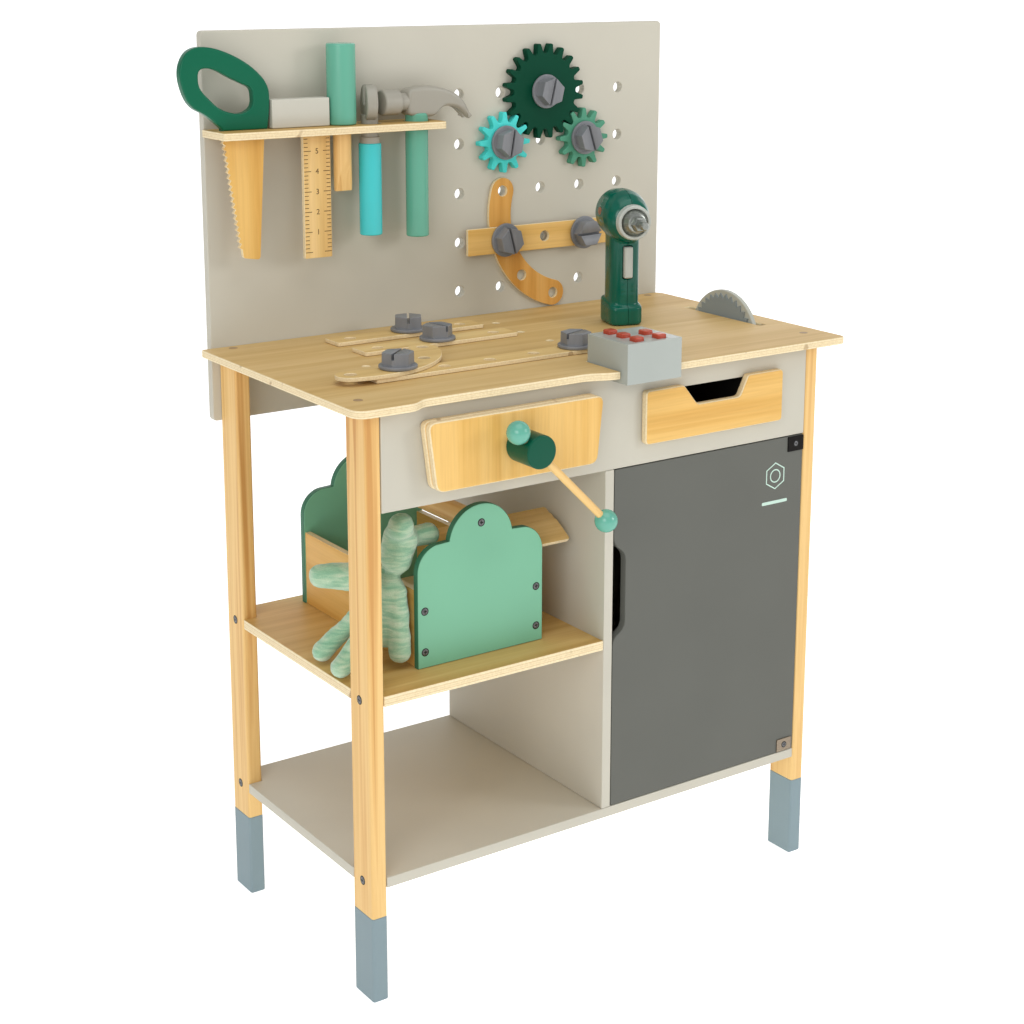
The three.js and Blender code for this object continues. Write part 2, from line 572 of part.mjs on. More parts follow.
// ---------------------------------------------------------------- gears
const MODULE = PEG_PITCH * Math.SQRT2 / 16;        // 20 and 12 teeth, a diagonal apart
const GEAR_T = 9;
const BIG_TEETH = 20;
const SMALL_TEETH = 12;

// Trapezoid teeth with rounded tips; turn is the angle of one tooth's middle, from +X.
function gearShape(teeth, turn) {
  const pitchR = MODULE * teeth / 2;
  const step = 2 * Math.PI / teeth;
  const at = (r, angle) => [r * Math.cos(angle), r * Math.sin(angle)];
  const points = [];
  for (let i = 0; i < teeth; i += 1) {
    const middle = turn + i * step;
    points.push(at(pitchR - 6, middle - 0.33 * step));
    points.push([...at(pitchR + 4.9, middle - 0.13 * step), 1.2]);
    points.push([...at(pitchR + 4.9, middle + 0.13 * step), 1.2]);
    points.push(at(pitchR - 6, middle + 0.33 * step));
  }
  const shape = outline(points);
  roundHole(shape, 0, 0, SHAFT_HOLE_R);
  return shape;
}

function addGears() {
  const y = PEG_FACE - GAP - GEAR_T;
  const gear = (name, teeth, turn, column, row, material) => {
    const shape = gearShape(teeth, turn);
    add(name, plate(shape, y, GEAR_T, 1).translate(pegX(column), 0, pegZ(row)), material);
  };
  const toLeft = THREE.MathUtils.degToRad(225);      // from the big gear to the small ones
  const toRight = THREE.MathUtils.degToRad(315);
  gear('gear_large', BIG_TEETH, toLeft, 2, 0, DARK_GREEN);
  const facingGap = Math.PI / SMALL_TEETH;
  gear('gear_left', SMALL_TEETH, toLeft + Math.PI + facingGap, 1, 1, CYAN);
  gear('gear_right', SMALL_TEETH, toRight + Math.PI + facingGap, 3, 1, MINT);
}

function addBolts() {
  const onGear = PEG_FACE - GEAR_T - 2 * GAP;
  const onStrips = PEG_FACE - 2 * STRIP_T - 3 * GAP;
  pegBolt('bolt_gear_large', 2, 0, onGear, 76);
  pegBolt('bolt_gear_left', 1, 1, onGear, 80);
  pegBolt('bolt_gear_right', 3, 1, onGear, 108);
  pegBolt('bolt_strip_left', 1, 3, onStrips, 105);
  pegBolt('bolt_strip_right', 3, 3, onStrips, 2);
  const single = TOP_Z + STRIP_T + 2 * GAP;
  const double = single + STRIP_T + GAP;
  tableBolt('bolt_table_a', TABLE_BOLTS.strip_a, single, 60);
  tableBolt('bolt_table_b', TABLE_BOLTS.strip_b, single, 100);
  tableBolt('bolt_table_c', TABLE_BOLTS.strip_c, single, 20);
  tableBolt('bolt_table_d', TABLE_BOLTS.strip_d, double, 40);
}

// ---------------------------------------------------------------- drill
const DRILL_X = 146;
const DRILL_Y = 173;               // middle of the grip
const BARREL_Z = 716;
const DRILL_TURN = -16;            // the nose points a little to the left

function addDrill() {
  const addTurned = (name, geometry, material) => add(name, geometry.translate(-DRILL_X, -DRILL_Y, 0)
    .rotateZ(THREE.MathUtils.degToRad(DRILL_TURN)).translate(DRILL_X, DRILL_Y, 0), material);
  const floor = TOP_Z + GAP;
  const profile = [[0, -30], [14, -29], [22, -24], [25, -15], [26, 0], [25.5, 16], [21.5, 28], [0, 28]]
    .map(([r, along]) => new THREE.Vector2(r, -along));
  const barrel = new THREE.LatheGeometry(profile.reverse(), 20);
  barrel.scale(0.9, 1, 1.12).translate(DRILL_X, DRILL_Y, BARREL_Z);
  const grip = (halfX, halfY, y, z, height, r) => sheet(outline([
    [DRILL_X - halfX, y - halfY, r], [DRILL_X + halfX, y - halfY, r],
    [DRILL_X + halfX, y + halfY, r], [DRILL_X - halfX, y + halfY, r]]), z, height);
  const body = cut(
    join(barrel, grip(15, 17, DRILL_Y, 620, 80, 11), grip(18.5, 22, DRILL_Y, floor, 25, 10)),
    block([DRILL_X - 5.4, DRILL_X + 5.4], [DRILL_Y - 20, DRILL_Y - 8], [652, 688]),
    rodY(6, DRILL_X, BARREL_Z, [DRILL_Y - 31, DRILL_Y - 14], 12));
  addTurned('drill_body', body, DRILL_GREEN);
  const trigger = block([DRILL_X - 5, DRILL_X + 5], [DRILL_Y - 21.5, DRILL_Y - 13], [652.5, 687.5]);
  addTurned('drill_trigger', trigger, STONE);
  const front = DRILL_Y - 28 - GAP;
  const chuck = join(
    rodY(21, DRILL_X, BARREL_Z, [front - 4, front], 20),
    new THREE.CylinderGeometry(18.5, 12, 11, 20).translate(DRILL_X, front - 9, BARREL_Z),
    rodY(8, DRILL_X, BARREL_Z, [front - 22, front - 13], 6),
    rodY(4.5, DRILL_X, BARREL_Z, [front - 33, front - 20], 8),
    rodY(5.6, DRILL_X, BARREL_Z, [front - 1, front + 12], 12));
  addTurned('drill_chuck', chuck, CHROME);
}

// ---------------------------------------------------------------- tool box on the middle shelf
const TOOLBOX_X = [-202, -54];
const TOOLBOX_Y = [39, 279];
const TOOLBOX_END_T = 8;
const TOOLBOX_Z = SHELF_MID_Z + GAP;
const WALL_TOP = 394;

function addToolBox() {
  const [x0, x1] = TOOLBOX_X;
  const middle = (x0 + x1) / 2;
  const end = (y) => {
    const shape = new THREE.Shape();
    shape.moveTo(x0, TOOLBOX_Z);
    shape.lineTo(x1, TOOLBOX_Z);
    shape.lineTo(x1, 412);
    shape.quadraticCurveTo(x1, 440, x1 - 27, 440);
    shape.lineTo(x1 - 33, 439);
    shape.quadraticCurveTo(x1 - 37, 471.5, middle, 471.5);
    shape.quadraticCurveTo(x0 + 37, 471.5, x0 + 33, 439);
    shape.lineTo(x0 + 27, 440);
    shape.quadraticCurveTo(x0, 440, x0, 412);
    shape.closePath();
    return plate(shape, y, TOOLBOX_END_T, 5);
  };
  add('toolbox_end_front', end(TOOLBOX_Y[0]), MINT);
  add('toolbox_end_rear', end(TOOLBOX_Y[1] - TOOLBOX_END_T), MINT);
  const inside = [TOOLBOX_Y[0] + TOOLBOX_END_T + GAP, TOOLBOX_Y[1] - TOOLBOX_END_T - GAP];
  const wall = 7;
  const tray = cut(block([x0 + 1, x1 - 1], inside, [TOOLBOX_Z, WALL_TOP]),
    block([x0 + 1 + wall, x1 - 1 - wall], [inside[0] - 1, inside[1] + 1], [TOOLBOX_Z + 5, WALL_TOP + 1]));
  add('toolbox_tray', tray, PLYWOOD);
  add('toolbox_handle', rodY(11, middle, 450, inside), PINE);

  const tilt = THREE.MathUtils.degToRad(31.4);
  const [width, length, slide] = [31, 150, 11.8];     // each plank lies further up than the one on it
  const planks = [0, 1, 2].map((i) => {
    const right = -12 + 2 * i;
    const left = right - length;
    const plank = outline([[left, 0, 4], [right, 0, 4], [right, width, 4], [left, width, 4]]);
    return sheet(plank, -STRIP_T * i, STRIP_T + 0.1).translate(0, slide * i, 0).rotateX(tilt);
  });
  add('plank_stack', join(...planks).translate(0, 50.7, 408.2), PLYWOOD);
}

// ---------------------------------------------------------------- soft rabbit
function addPlush() {
  const limb = ([x0, y0, z0], [x1, y1, z1], r) => {
    const from = new THREE.Vector3(x0, y0, z0);
    const to = new THREE.Vector3(x1, y1, z1);
    const body = new THREE.CapsuleGeometry(r, from.distanceTo(to), 2, 8);
    const way = to.clone().sub(from).normalize();
    body.applyQuaternion(new THREE.Quaternion().setFromUnitVectors(new THREE.Vector3(0, 1, 0), way));
    const middle = from.add(to).multiplyScalar(0.5);
    return body.translate(middle.x, middle.y, middle.z);
  };
  const pieces = [
    limb([-221, 78, 348], [-219, 70, 400], 16),
    limb([-214, 68, 412], [-207, 66, 440], 15.5),
    limb([-207, 64, 444], [-206, 60, 460], 12.5),
    limb([-200, 68, 440], [-173, 68, 440], 11),
    limb([-228, 86, 402], [-274, 111, 404], 14),
    limb([-232, 88, 372], [-269, 106, 327], 10.5),
    limb([-234, 76, 356], [-274, 62, 326], 10.5),
    limb([-216, 62, 388], [-214.5, 60, 332], 11.5),
  ];
  add('plush_rabbit', join(...pieces), PLUSH);
}

addLegs();
addShelves();
addCupboard();
addDrawer();
addVise();
addApron();
addDoor();
addWorktop();
addPegBoard();
addToolRack();
addControlBox();
addCircularSaw();
addHandSaw();
addSetSquare();
addScrewdriver();
addWrench();
addHammer();
addStrips();
addGears();
addBolts();
addDrill();
addToolBox();
addPlush();

// Centre the footprint's box on the origin; the feet stand on z = 0.
const box = new THREE.Box3().setFromObject(bench);
const centre = box.getCenter(new THREE.Vector3());
bench.position.set(-centre.x, -centre.y, -box.min.z);
const toyWorkbench = new THREE.Group();
toyWorkbench.add(bench);
export default toyWorkbench;
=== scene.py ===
import math

import bmesh
import bpy
from mathutils import Matrix, Vector, noise


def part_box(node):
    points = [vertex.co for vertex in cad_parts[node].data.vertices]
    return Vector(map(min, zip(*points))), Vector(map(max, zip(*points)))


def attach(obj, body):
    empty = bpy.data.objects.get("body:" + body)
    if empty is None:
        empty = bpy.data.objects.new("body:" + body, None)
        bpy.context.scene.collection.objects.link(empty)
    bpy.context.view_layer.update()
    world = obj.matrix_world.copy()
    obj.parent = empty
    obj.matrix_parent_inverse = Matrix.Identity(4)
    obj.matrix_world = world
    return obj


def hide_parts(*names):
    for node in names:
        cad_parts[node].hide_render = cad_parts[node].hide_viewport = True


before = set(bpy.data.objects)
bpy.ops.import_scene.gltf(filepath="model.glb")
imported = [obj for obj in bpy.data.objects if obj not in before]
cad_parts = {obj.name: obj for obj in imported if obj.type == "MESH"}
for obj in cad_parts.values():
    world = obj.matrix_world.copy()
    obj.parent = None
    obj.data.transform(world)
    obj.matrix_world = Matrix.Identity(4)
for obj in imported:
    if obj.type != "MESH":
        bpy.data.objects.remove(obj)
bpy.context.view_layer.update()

# ---------------------------------------------------------------- driving dimensions, in bench mm
SPAN_X = 560
MM = 0.001
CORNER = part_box("leg_front_left")[0]
ORIGIN = Vector((CORNER.x + SPAN_X / 2 * MM, CORNER.y, 0))
BENCH = Matrix.Translation(ORIGIN) @ Matrix.Scale(MM, 4)

GAP = 0.3
STRIP_T = 4.2            # strips and loose planks
FOOT_Z = 88.5            # top of the painted feet
TOOL_Y = 275             # middle plane of the hanging tools
PEG_PITCH = 54.64
PEG_FIRST = (16, 847.7)
PEG_ROWS = 5
HOLE_R = 6
STRIP_W = 30
PLANK_TILT = 31.4
PLANK_SIZE = (150, 31)   # length and width
PLANK_SHIFT = 11.8       # each plank lies this much further up than the one on it
PLANK_PLACE = (0, 50.7, 408.2)
DRILL_TURN = -16
ARC_R = 98               # hole circle of the curved strips


def span(node):
    """(x range, y range, z range) of a CAD node, in bench mm."""
    low, high = ((corner - ORIGIN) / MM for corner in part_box(node))
    return list(zip(low, high))


def peg(column, row):
    return PEG_FIRST[0] + PEG_PITCH * column, PEG_FIRST[1] - PEG_PITCH * row


# ---------------------------------------------------------------- shader nodes
WHITE = (1, 1, 1, 1)
EVEN = (1, 1, 1)         # a texture that isn't stretched


def srgb(r, g, b):
    """Linear RGBA of an 8-bit display colour."""
    def linear(v):
        v /= 255
        return v / 12.92 if v <= 0.04045 else ((v + 0.055) / 1.055) ** 2.4
    return (linear(r), linear(g), linear(b), 1)


class Shader:
    """A Principled material with a few short ways to add nodes to it."""

    def __init__(self, name, roughness, **sockets):
        self.material = bpy.data.materials.new(name)
        self.material.use_nodes = True
        self.tree = self.material.node_tree
        self.surface = self.tree.nodes["Principled BSDF"]
        self.set(self.surface, Roughness=roughness, **sockets)

    def set(self, node, **values):
        for key, value in values.items():
            socket = node.inputs[key.replace("_", " ")]
            if isinstance(value, bpy.types.NodeSocket):
                self.tree.links.new(value, socket)
            else:
                socket.default_value = value

    def add(self, kind, **values):
        node = self.tree.nodes.new(kind)
        self.set(node, **values)
        return node

    def place(self, scale):
        coordinates = self.add("ShaderNodeTexCoord").outputs["Object"]
        return self.add("ShaderNodeMapping", Vector=coordinates, Scale=scale).outputs["Vector"]

    def noise(self, scale, size=1.0, detail=3.0, distortion=0.0):
        """Noise with `size` features per metre, stretched by scale."""
        node = self.add("ShaderNodeTexNoise", Vector=self.place(scale), Scale=size, Detail=detail)
        node.inputs["Distortion"].default_value = distortion
        return node.outputs["Fac"]

    def wave(self, scale, size, distortion, direction="X"):
        node = self.add("ShaderNodeTexWave", Vector=self.place(scale), Scale=size, Distortion=distortion)
        node.inputs["Detail"].default_value = 2
        node.bands_direction = direction
        return node.outputs["Fac"]

    def ramp(self, value, stops):
        node = self.add("ShaderNodeValToRGB", Fac=value)
        while len(node.color_ramp.elements) < len(stops):
            node.color_ramp.elements.new(0.5)
        for element, (position, colour) in zip(node.color_ramp.elements, stops):
            element.position = position
            element.color = colour
        return node.outputs["Color"]

    def mix(self, factor, a, b, blend="MIX"):
        node = self.tree.nodes.new("ShaderNodeMix")
        node.data_type = "RGBA"
        node.blend_type = blend
        for index, value in ((0, factor), (6, a), (7, b)):
            if isinstance(value, bpy.types.NodeSocket):
                self.tree.links.new(value, node.inputs[index])
            else:
                node.inputs[index].default_value = value
        return node.outputs[2]

    def math(self, operation, a, b=0.0, clamp=False):
        node = self.tree.nodes.new("ShaderNodeMath")
        node.operation = operation
        node.use_clamp = clamp
        for socket, value in zip(node.inputs, (a, b)):
            if isinstance(value, bpy.types.NodeSocket):
                self.tree.links.new(value, socket)
            else:
                socket.default_value = value
        return node.outputs["Value"]

    def axis(self, kind, axis):
        """One coordinate of the object or of its normal."""
        split = self.add("ShaderNodeSeparateXYZ", Vector=self.add("ShaderNodeTexCoord").outputs[kind])
        return split.outputs[axis]

    def facing(self, axis):
        """1 on faces square to the axis, 0 on the edges round them."""
        across = self.math("ABSOLUTE", self.axis("Normal", axis))
        return self.ramp(across, [(0.72, (0, 0, 0, 1)), (0.86, WHITE)])

    def bump(self, height, strength, distance=0.0005):
        node = self.add("ShaderNodeBump", Height=height, Strength=strength, Distance=distance)
        self.set(self.surface, Normal=node.outputs["Normal"])

    def film(self, base):
        """A paint's colour with barely visible clouds."""
        darker = tuple(c * 0.965 for c in base[:3]) + (1,)
        return self.ramp(self.noise(EVEN, 9, 3), [(0.35, darker), (0.6, base)])

    def colour(self, value):
        self.set(self.surface, Base_Color=value)
        return self.material


# ---------------------------------------------------------------- materials
AXES = "XYZ"
made = {}


def once(function):
    """Materials with the same settings are made once."""
    def wrapper(*settings):
        key = (function.__name__, settings)
        if key not in made:
            made[key] = function(*settings)
        return made[key]
    return wrapper


def grain(shader, along, light, middle, dark, streak, figure):
    """Wood colour whose fibres run along one axis; streak and figure are features per metre across."""
    stretch = [1, 1, 1]
    stretch[AXES.index(along)] = 0.035
    fibre = shader.noise(stretch, streak * 5, 3, 0.2)
    rings = shader.noise(stretch, figure, 4, 0.9)
    broad = shader.ramp(rings, [(0.3, dark), (0.48, middle), (0.64, light)])
    fine = shader.ramp(fibre, [(0.3, (0.82, 0.78, 0.72, 1)), (0.6, WHITE)])
    return shader.mix(0.4, broad, fine, "MULTIPLY"), fibre


TONES = {
    # light, middle and dark colour of the face
    "pale": ((216, 185, 128), (209, 176, 116), (198, 163, 100)),
    "shelf": ((216, 182, 116), (209, 172, 104), (196, 156, 88)),
    "strip": ((228, 198, 136), (221, 188, 124), (208, 174, 108)),
    "honey": ((232, 190, 114), (225, 180, 100), (214, 164, 82)),
    "orange": ((222, 170, 92), (213, 157, 76), (196, 138, 58)),
    "cream": ((234, 200, 138), (226, 190, 124), (214, 174, 106)),
}


@once
def plywood(axis, start, thickness, along, tone):
    """Lacquered plywood: grained faces square to the axis, glued plies on the edges.
    start is the frame coordinate, in metres, where the board's thickness begins."""
    shader = Shader(f"plywood_{tone}_{axis}_{round(start / MM)}", 0.5, Specular_IOR_Level=0.3)
    light, middle, dark = (srgb(*rgb) for rgb in TONES[tone])
    face, fibre = grain(shader, along, light, middle, dark, 90, 42)
    depth = shader.math("SUBTRACT", shader.axis("Object", axis), start)
    share = shader.math("DIVIDE", depth, thickness * MM)
    pale, glue, inner = srgb(238, 222, 184), srgb(206, 178, 134), srgb(228, 206, 162)
    stops = [(0.0, pale), (0.24, pale), (0.27, glue), (0.30, inner), (0.46, pale), (0.49, glue), (0.52, pale),
             (0.70, inner), (0.73, glue), (0.76, pale)]
    plies = shader.ramp(share, stops)
    speckle = shader.ramp(shader.noise(EVEN, 500, 2), [(0.35, (0.86, 0.82, 0.76, 1)), (0.6, WHITE)])
    gaps = shader.ramp(shader.noise(EVEN, 48, 1), [(0.7, WHITE), (0.73, (0.45, 0.33, 0.24, 1))])
    edge = shader.mix(0.6, plies, speckle, "MULTIPLY")
    edge = shader.mix(0.6, edge, gaps, "MULTIPLY")
    shader.bump(fibre, 0.12)
    return shader.colour(shader.mix(shader.facing(axis), edge, face))


def board_ply(node, axis, along, tone):
    """Plywood for a CAD node that is one board, its plies across the given axis."""
    low, high = span(node)[AXES.index(axis)]
    return plywood(axis, ORIGIN[AXES.index(axis)] + low * MM, high - low, along, tone)


@once
def pine(along):
    """Solid pine with strong straight growth lines."""
    shader = Shader(f"pine_{along}", 0.45, Specular_IOR_Level=0.35)
    stretch = [1, 1, 1]
    stretch[AXES.index(along)] = 0.02
    lines = shader.noise(stretch, 120, 2, 0.5)
    tone = shader.ramp(lines, [(0.3, srgb(204, 152, 86)), (0.4, srgb(222, 178, 110)),
                               (0.52, srgb(232, 194, 128)), (0.72, srgb(222, 180, 112))])
    slow = shader.ramp(shader.noise(stretch, 30, 2), [(0.35, (0.88, 0.82, 0.74, 1)), (0.6, WHITE)])
    fibre = shader.noise(stretch, 900, 2)
    shader.bump(fibre, 0.1)
    return shader.colour(shader.mix(0.5, tone, slow, "MULTIPLY"))


@once
def paint(name, rgb, roughness, specular):
    """Satin paint: a slightly uneven film with a fine orange-peel surface."""
    shader = Shader(f"paint_{name}", roughness, Specular_IOR_Level=specular)
    shader.bump(shader.noise(EVEN, 700, 2), 0.07)
    return shader.colour(shader.film(srgb(*rgb)))


@once
def edged_paint(name, face, edge, axis, roughness):
    """Painted board whose rounded edges are coloured darker than its faces, as painted shade on the edges."""
    shader = Shader(f"paint_{name}", roughness, Specular_IOR_Level=0.3)
    shader.bump(shader.noise(EVEN, 700, 2), 0.07)
    return shader.colour(shader.mix(shader.facing(axis), srgb(*edge), shader.film(srgb(*face))))


@once
def plastic(name, rgb, roughness):
    """Moulded plastic: fine texture, faint flow marks."""
    shader = Shader(f"plastic_{name}", roughness, Specular_IOR_Level=0.4)
    base = srgb(*rgb)
    darker = tuple(c * 0.85 for c in base[:3]) + (1,)
    flow = shader.noise((1, 1, 0.3), 60, 3, 0.6)
    shader.bump(shader.noise(EVEN, 1500, 2), 0.06, 0.0002)
    return shader.colour(shader.ramp(flow, [(0.35, darker), (0.6, base)]))


@once
def metal(name, rgb, roughness):
    """Plated steel with faint brushing."""
    shader = Shader(f"metal_{name}", roughness, Metallic=0.9)
    base = srgb(*rgb)
    darker = tuple(c * 0.7 for c in base[:3]) + (1,)
    brush = shader.noise((1, 0.1, 1), 900, 3)
    shader.bump(brush, 0.1, 0.0002)
    return shader.colour(shader.ramp(brush, [(0.3, darker), (0.65, base)]))


@once
def knit():
    """Heathered jersey in mint and off-white, in uneven bands round the limbs."""
    shader = Shader("knit", 0.95, Sheen_Weight=0.5, Sheen_Roughness=0.5)
    bands = shader.noise((0.18, 0.18, 1), 240, 3, 0.5)
    tone = shader.ramp(bands, [(0.3, srgb(134, 186, 150)), (0.46, srgb(156, 200, 166)),
                               (0.58, srgb(186, 214, 182)), (0.72, srgb(204, 220, 192))])
    fleck = shader.ramp(shader.noise(EVEN, 900, 2), [(0.4, (0.8, 0.84, 0.8, 1)), (0.62, WHITE)])
    stitch = shader.wave((1, 1, 1), 330, 1.2, "Z")
    loops = shader.noise(EVEN, 1300, 2)
    shader.bump(shader.math("ADD", stitch, loops), 0.55, 0.0006)
    return shader.colour(shader.mix(0.6, tone, fleck, "MULTIPLY"))


def grey():
    return paint("warm_grey", (196, 192, 178), 0.55, 0.2)


def mint():
    return paint("mint", (100, 172, 148), 0.22, 0.5)


def stone():
    return paint("stone", (158, 154, 142), 0.35, 0.4)


def blue_grey():
    return paint("blue_grey", (166, 172, 166), 0.25, 0.45)


# ---------------------------------------------------------------- outlines
def outline(points, steps=5):
    """Points of a closed outline; a third value rounds that corner by that radius."""
    ring = []
    for i, (x, y, *radius) in enumerate(points):
        corner = Vector((x, y))
        if not radius or not radius[0]:
            ring.append(corner)
            continue
        before = Vector(points[i - 1][:2]) - corner
        after = Vector(points[(i + 1) % len(points)][:2]) - corner
        enter = corner + before.normalized() * min(radius[0], 0.48 * before.length)
        leave = corner + after.normalized() * min(radius[0], 0.48 * after.length)
        for step in range(steps + 1):
            t = step / steps
            ring.append(enter * (1 - t) ** 2 + corner * 2 * t * (1 - t) + leave * t * t)
    return ring


def rectangle(x, y, radius=0.0):
    return outline([(x[0], y[0], radius), (x[1], y[0], radius), (x[1], y[1], radius), (x[0], y[1], radius)])


def arc(x, y, r, start, end, steps):
    angles = [math.radians(start + (end - start) * i / steps) for i in range(steps + 1)]
    return [Vector((x + r * math.cos(a), y + r * math.sin(a))) for a in angles]


def circle(x, y, r, steps=32):
    return arc(x, y, r, 0, 360, steps)[:-1]


def move(bm, matrix):
    bmesh.ops.transform(bm, matrix=matrix, verts=bm.verts)
    return bm


def linked(name, data):
    """An object in the scene's collection."""
    thing = bpy.data.objects.new(name, data)
    bpy.context.scene.collection.objects.link(thing)
    return thing


# ---------------------------------------------------------------- solids, in bench mm
TURN = {
    "Z": Matrix.Identity(4),
    "Y": Matrix.Rotation(math.pi / 2, 4, "X"),
    "X": Matrix(((0, 0, 1, 0), (1, 0, 0, 0), (0, 1, 0, 0), (0, 0, 0, 1))),
}


def flat(ring, holes, facing, start, thickness, edge=1.0, rounds=2):
    """Board with rounded edges and holes. Its outline is in X and Y when it faces Z, in X and Z when it
    faces Y, and in Y and Z when it faces X; its thickness runs from start up."""
    curve = bpy.data.curves.new("outline", "CURVE")
    curve.dimensions = "2D"
    curve.fill_mode = "BOTH"
    curve.extrude = thickness / 2 - edge
    curve.bevel_depth = edge
    curve.bevel_resolution = rounds
    curve.offset = -edge
    for points in [ring, *holes]:
        spline = curve.splines.new("POLY")
        spline.points.add(len(points) - 1)
        for target, (x, y) in zip(spline.points, points):
            target.co = (x, y, 0, 1)
        spline.use_cyclic_u = True
    holder = bpy.data.objects.new("outline", curve)
    mesh = bpy.data.meshes.new_from_object(holder)
    bm = bmesh.new()
    bm.from_mesh(mesh)
    bpy.data.objects.remove(holder)
    bpy.data.curves.remove(curve)
    bpy.data.meshes.remove(mesh)
    bmesh.ops.remove_doubles(bm, verts=bm.verts, dist=0.002)
    sign = -1 if facing == "Y" else 1
    middle = start + thickness / 2
    move(bm, TURN[facing] @ Matrix.Translation((0, 0, sign * middle)))
    return bm


def slab(x, y, z, edge=1.0, rounds=2):
    """Box with rounded edges."""
    bm = bmesh.new()
    size = [high - low for low, high in (x, y, z)]
    middle = [(high + low) / 2 for low, high in (x, y, z)]
    bmesh.ops.create_cube(bm, size=1, matrix=Matrix.Translation(middle) @ Matrix.Diagonal((*size, 1)))
    bmesh.ops.bevel(bm, geom=bm.edges[:], offset=edge, segments=rounds, profile=0.5, affect="EDGES")
    return bm


def lathe(profile, facing, centre, sides=40):
    """Turned solid: profile is (radius, place along the axis), from one end to the other."""
    bm = bmesh.new()
    rings = []
    for radius, along in profile:
        if radius < 1e-6:
            rings.append([bm.verts.new((0, 0, along))])
            continue
        angles = [2 * math.pi * i / sides for i in range(sides)]
        rings.append([bm.verts.new((radius * math.cos(a), radius * math.sin(a), along)) for a in angles])
    for low, high in zip(rings, rings[1:]):
        for i in range(sides):
            j = (i + 1) % sides
            corners = [low[i % len(low)], low[j % len(low)], high[j % len(high)], high[i % len(high)]]
            bm.faces.new(list(dict.fromkeys(corners)))
    turn = {"Z": Matrix.Identity(4), "Y": Matrix.Rotation(-math.pi / 2, 4, "X"),
            "X": Matrix.Rotation(math.pi / 2, 4, "Y")}[facing]
    move(bm, Matrix.Translation(centre) @ turn)
    bmesh.ops.recalc_face_normals(bm, faces=bm.faces)
    return bm


def rod_profile(radius, low, high, edge=1.0):
    """Half section of a rod with rounded ends."""
    quarter = [math.radians(a) for a in (0, 30, 60, 90)]
    bottom = [(radius - edge + edge * math.sin(a), low + edge - edge * math.cos(a)) for a in quarter]
    top = [(r, low + high - along) for r, along in reversed(bottom)]
    return [(0, low), *bottom, *top, (0, high)]


def rod(radius, facing, centre, low, high, edge=1.0, sides=40):
    return lathe(rod_profile(radius, low, high, edge), facing, centre, sides)


def merged(*parts):
    """Several bmeshes as one; they may overlap where paint or glue hides the joint."""
    whole = bmesh.new()
    for part in parts:
        mesh = bpy.data.meshes.new("part")
        part.to_mesh(mesh)
        part.free()
        whole.from_mesh(mesh)
        bpy.data.meshes.remove(mesh)
    return whole


# ---------------------------------------------------------------- pieces
def piece(name, bm, material, body, nodes=(), sharp=38, place=None, to_frame=BENCH):
    """A finished object that rides on a body and stands for CAD nodes. A tilted piece is drawn in its own
    frame, in mm, and place puts it in the bench."""
    mesh = bpy.data.meshes.new(name)
    if place is None:
        move(bm, to_frame)
    else:
        move(bm, Matrix.Scale(MM, 4))
    bm.to_mesh(mesh)
    bm.free()
    mesh.shade_smooth()
    mesh.set_sharp_from_angle(angle=math.radians(sharp))
    mesh.materials.append(material)
    thing = linked(name, mesh)
    level(thing)
    if place is not None:
        thing.matrix_world = BENCH @ place @ Matrix.Scale(1 / MM, 4)
    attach(thing, body)
    if nodes:
        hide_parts(*([nodes] if isinstance(nodes, str) else nodes))
    return thing


def level(thing):
    """Shades the flat faces flat, so that only the rounded edges turn the light."""
    modifier = thing.modifiers.new("level", "WEIGHTED_NORMAL")
    modifier.weight = 100
    modifier.keep_sharp = True
    bpy.context.view_layer.update()
    bake(thing)


def soften(node, material, body, edge=0.8):
    """The CAD solid with its sharp edges rounded, as a new piece."""
    bm = bmesh.new()
    bm.from_mesh(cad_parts[node].data)
    bmesh.ops.remove_doubles(bm, verts=bm.verts, dist=2e-6)
    bmesh.ops.dissolve_limit(bm, angle_limit=math.radians(1), verts=bm.verts[:], edges=bm.edges[:])
    hard = [e for e in bm.edges if len(e.link_faces) == 2 and e.calc_face_angle() > math.radians(40)]
    bmesh.ops.bevel(bm, geom=hard, offset=edge * MM, segments=2, profile=0.5, affect="EDGES",
                    clamp_overlap=True)
    return piece(f"{node}_finished", bm, material, body, node, to_frame=Matrix.Identity(4))


def carve(thing, *cutters, to_frame=BENCH):
    """Cuts closed bench-mm solids out of a piece and leaves a plain mesh."""
    for bm in cutters:
        mesh = bpy.data.meshes.new("cutter")
        move(bm, to_frame)
        bm.to_mesh(mesh)
        bm.free()
        cutter = linked("cutter", mesh)
        modifier = thing.modifiers.new("cut", "BOOLEAN")
        modifier.operation = "DIFFERENCE"
        modifier.object = cutter
        modifier.solver = "EXACT"
        bpy.context.view_layer.update()
        bake(thing)
        bpy.data.objects.remove(cutter)
    thing.data.set_sharp_from_angle(angle=math.radians(38))
    level(thing)
    return thing


def bake(thing):
    """Applies a piece's modifiers to its mesh."""
    graph = bpy.context.evaluated_depsgraph_get()
    mesh = bpy.data.meshes.new_from_object(thing.evaluated_get(graph))
    thing.modifiers.clear()
    thing.data = mesh


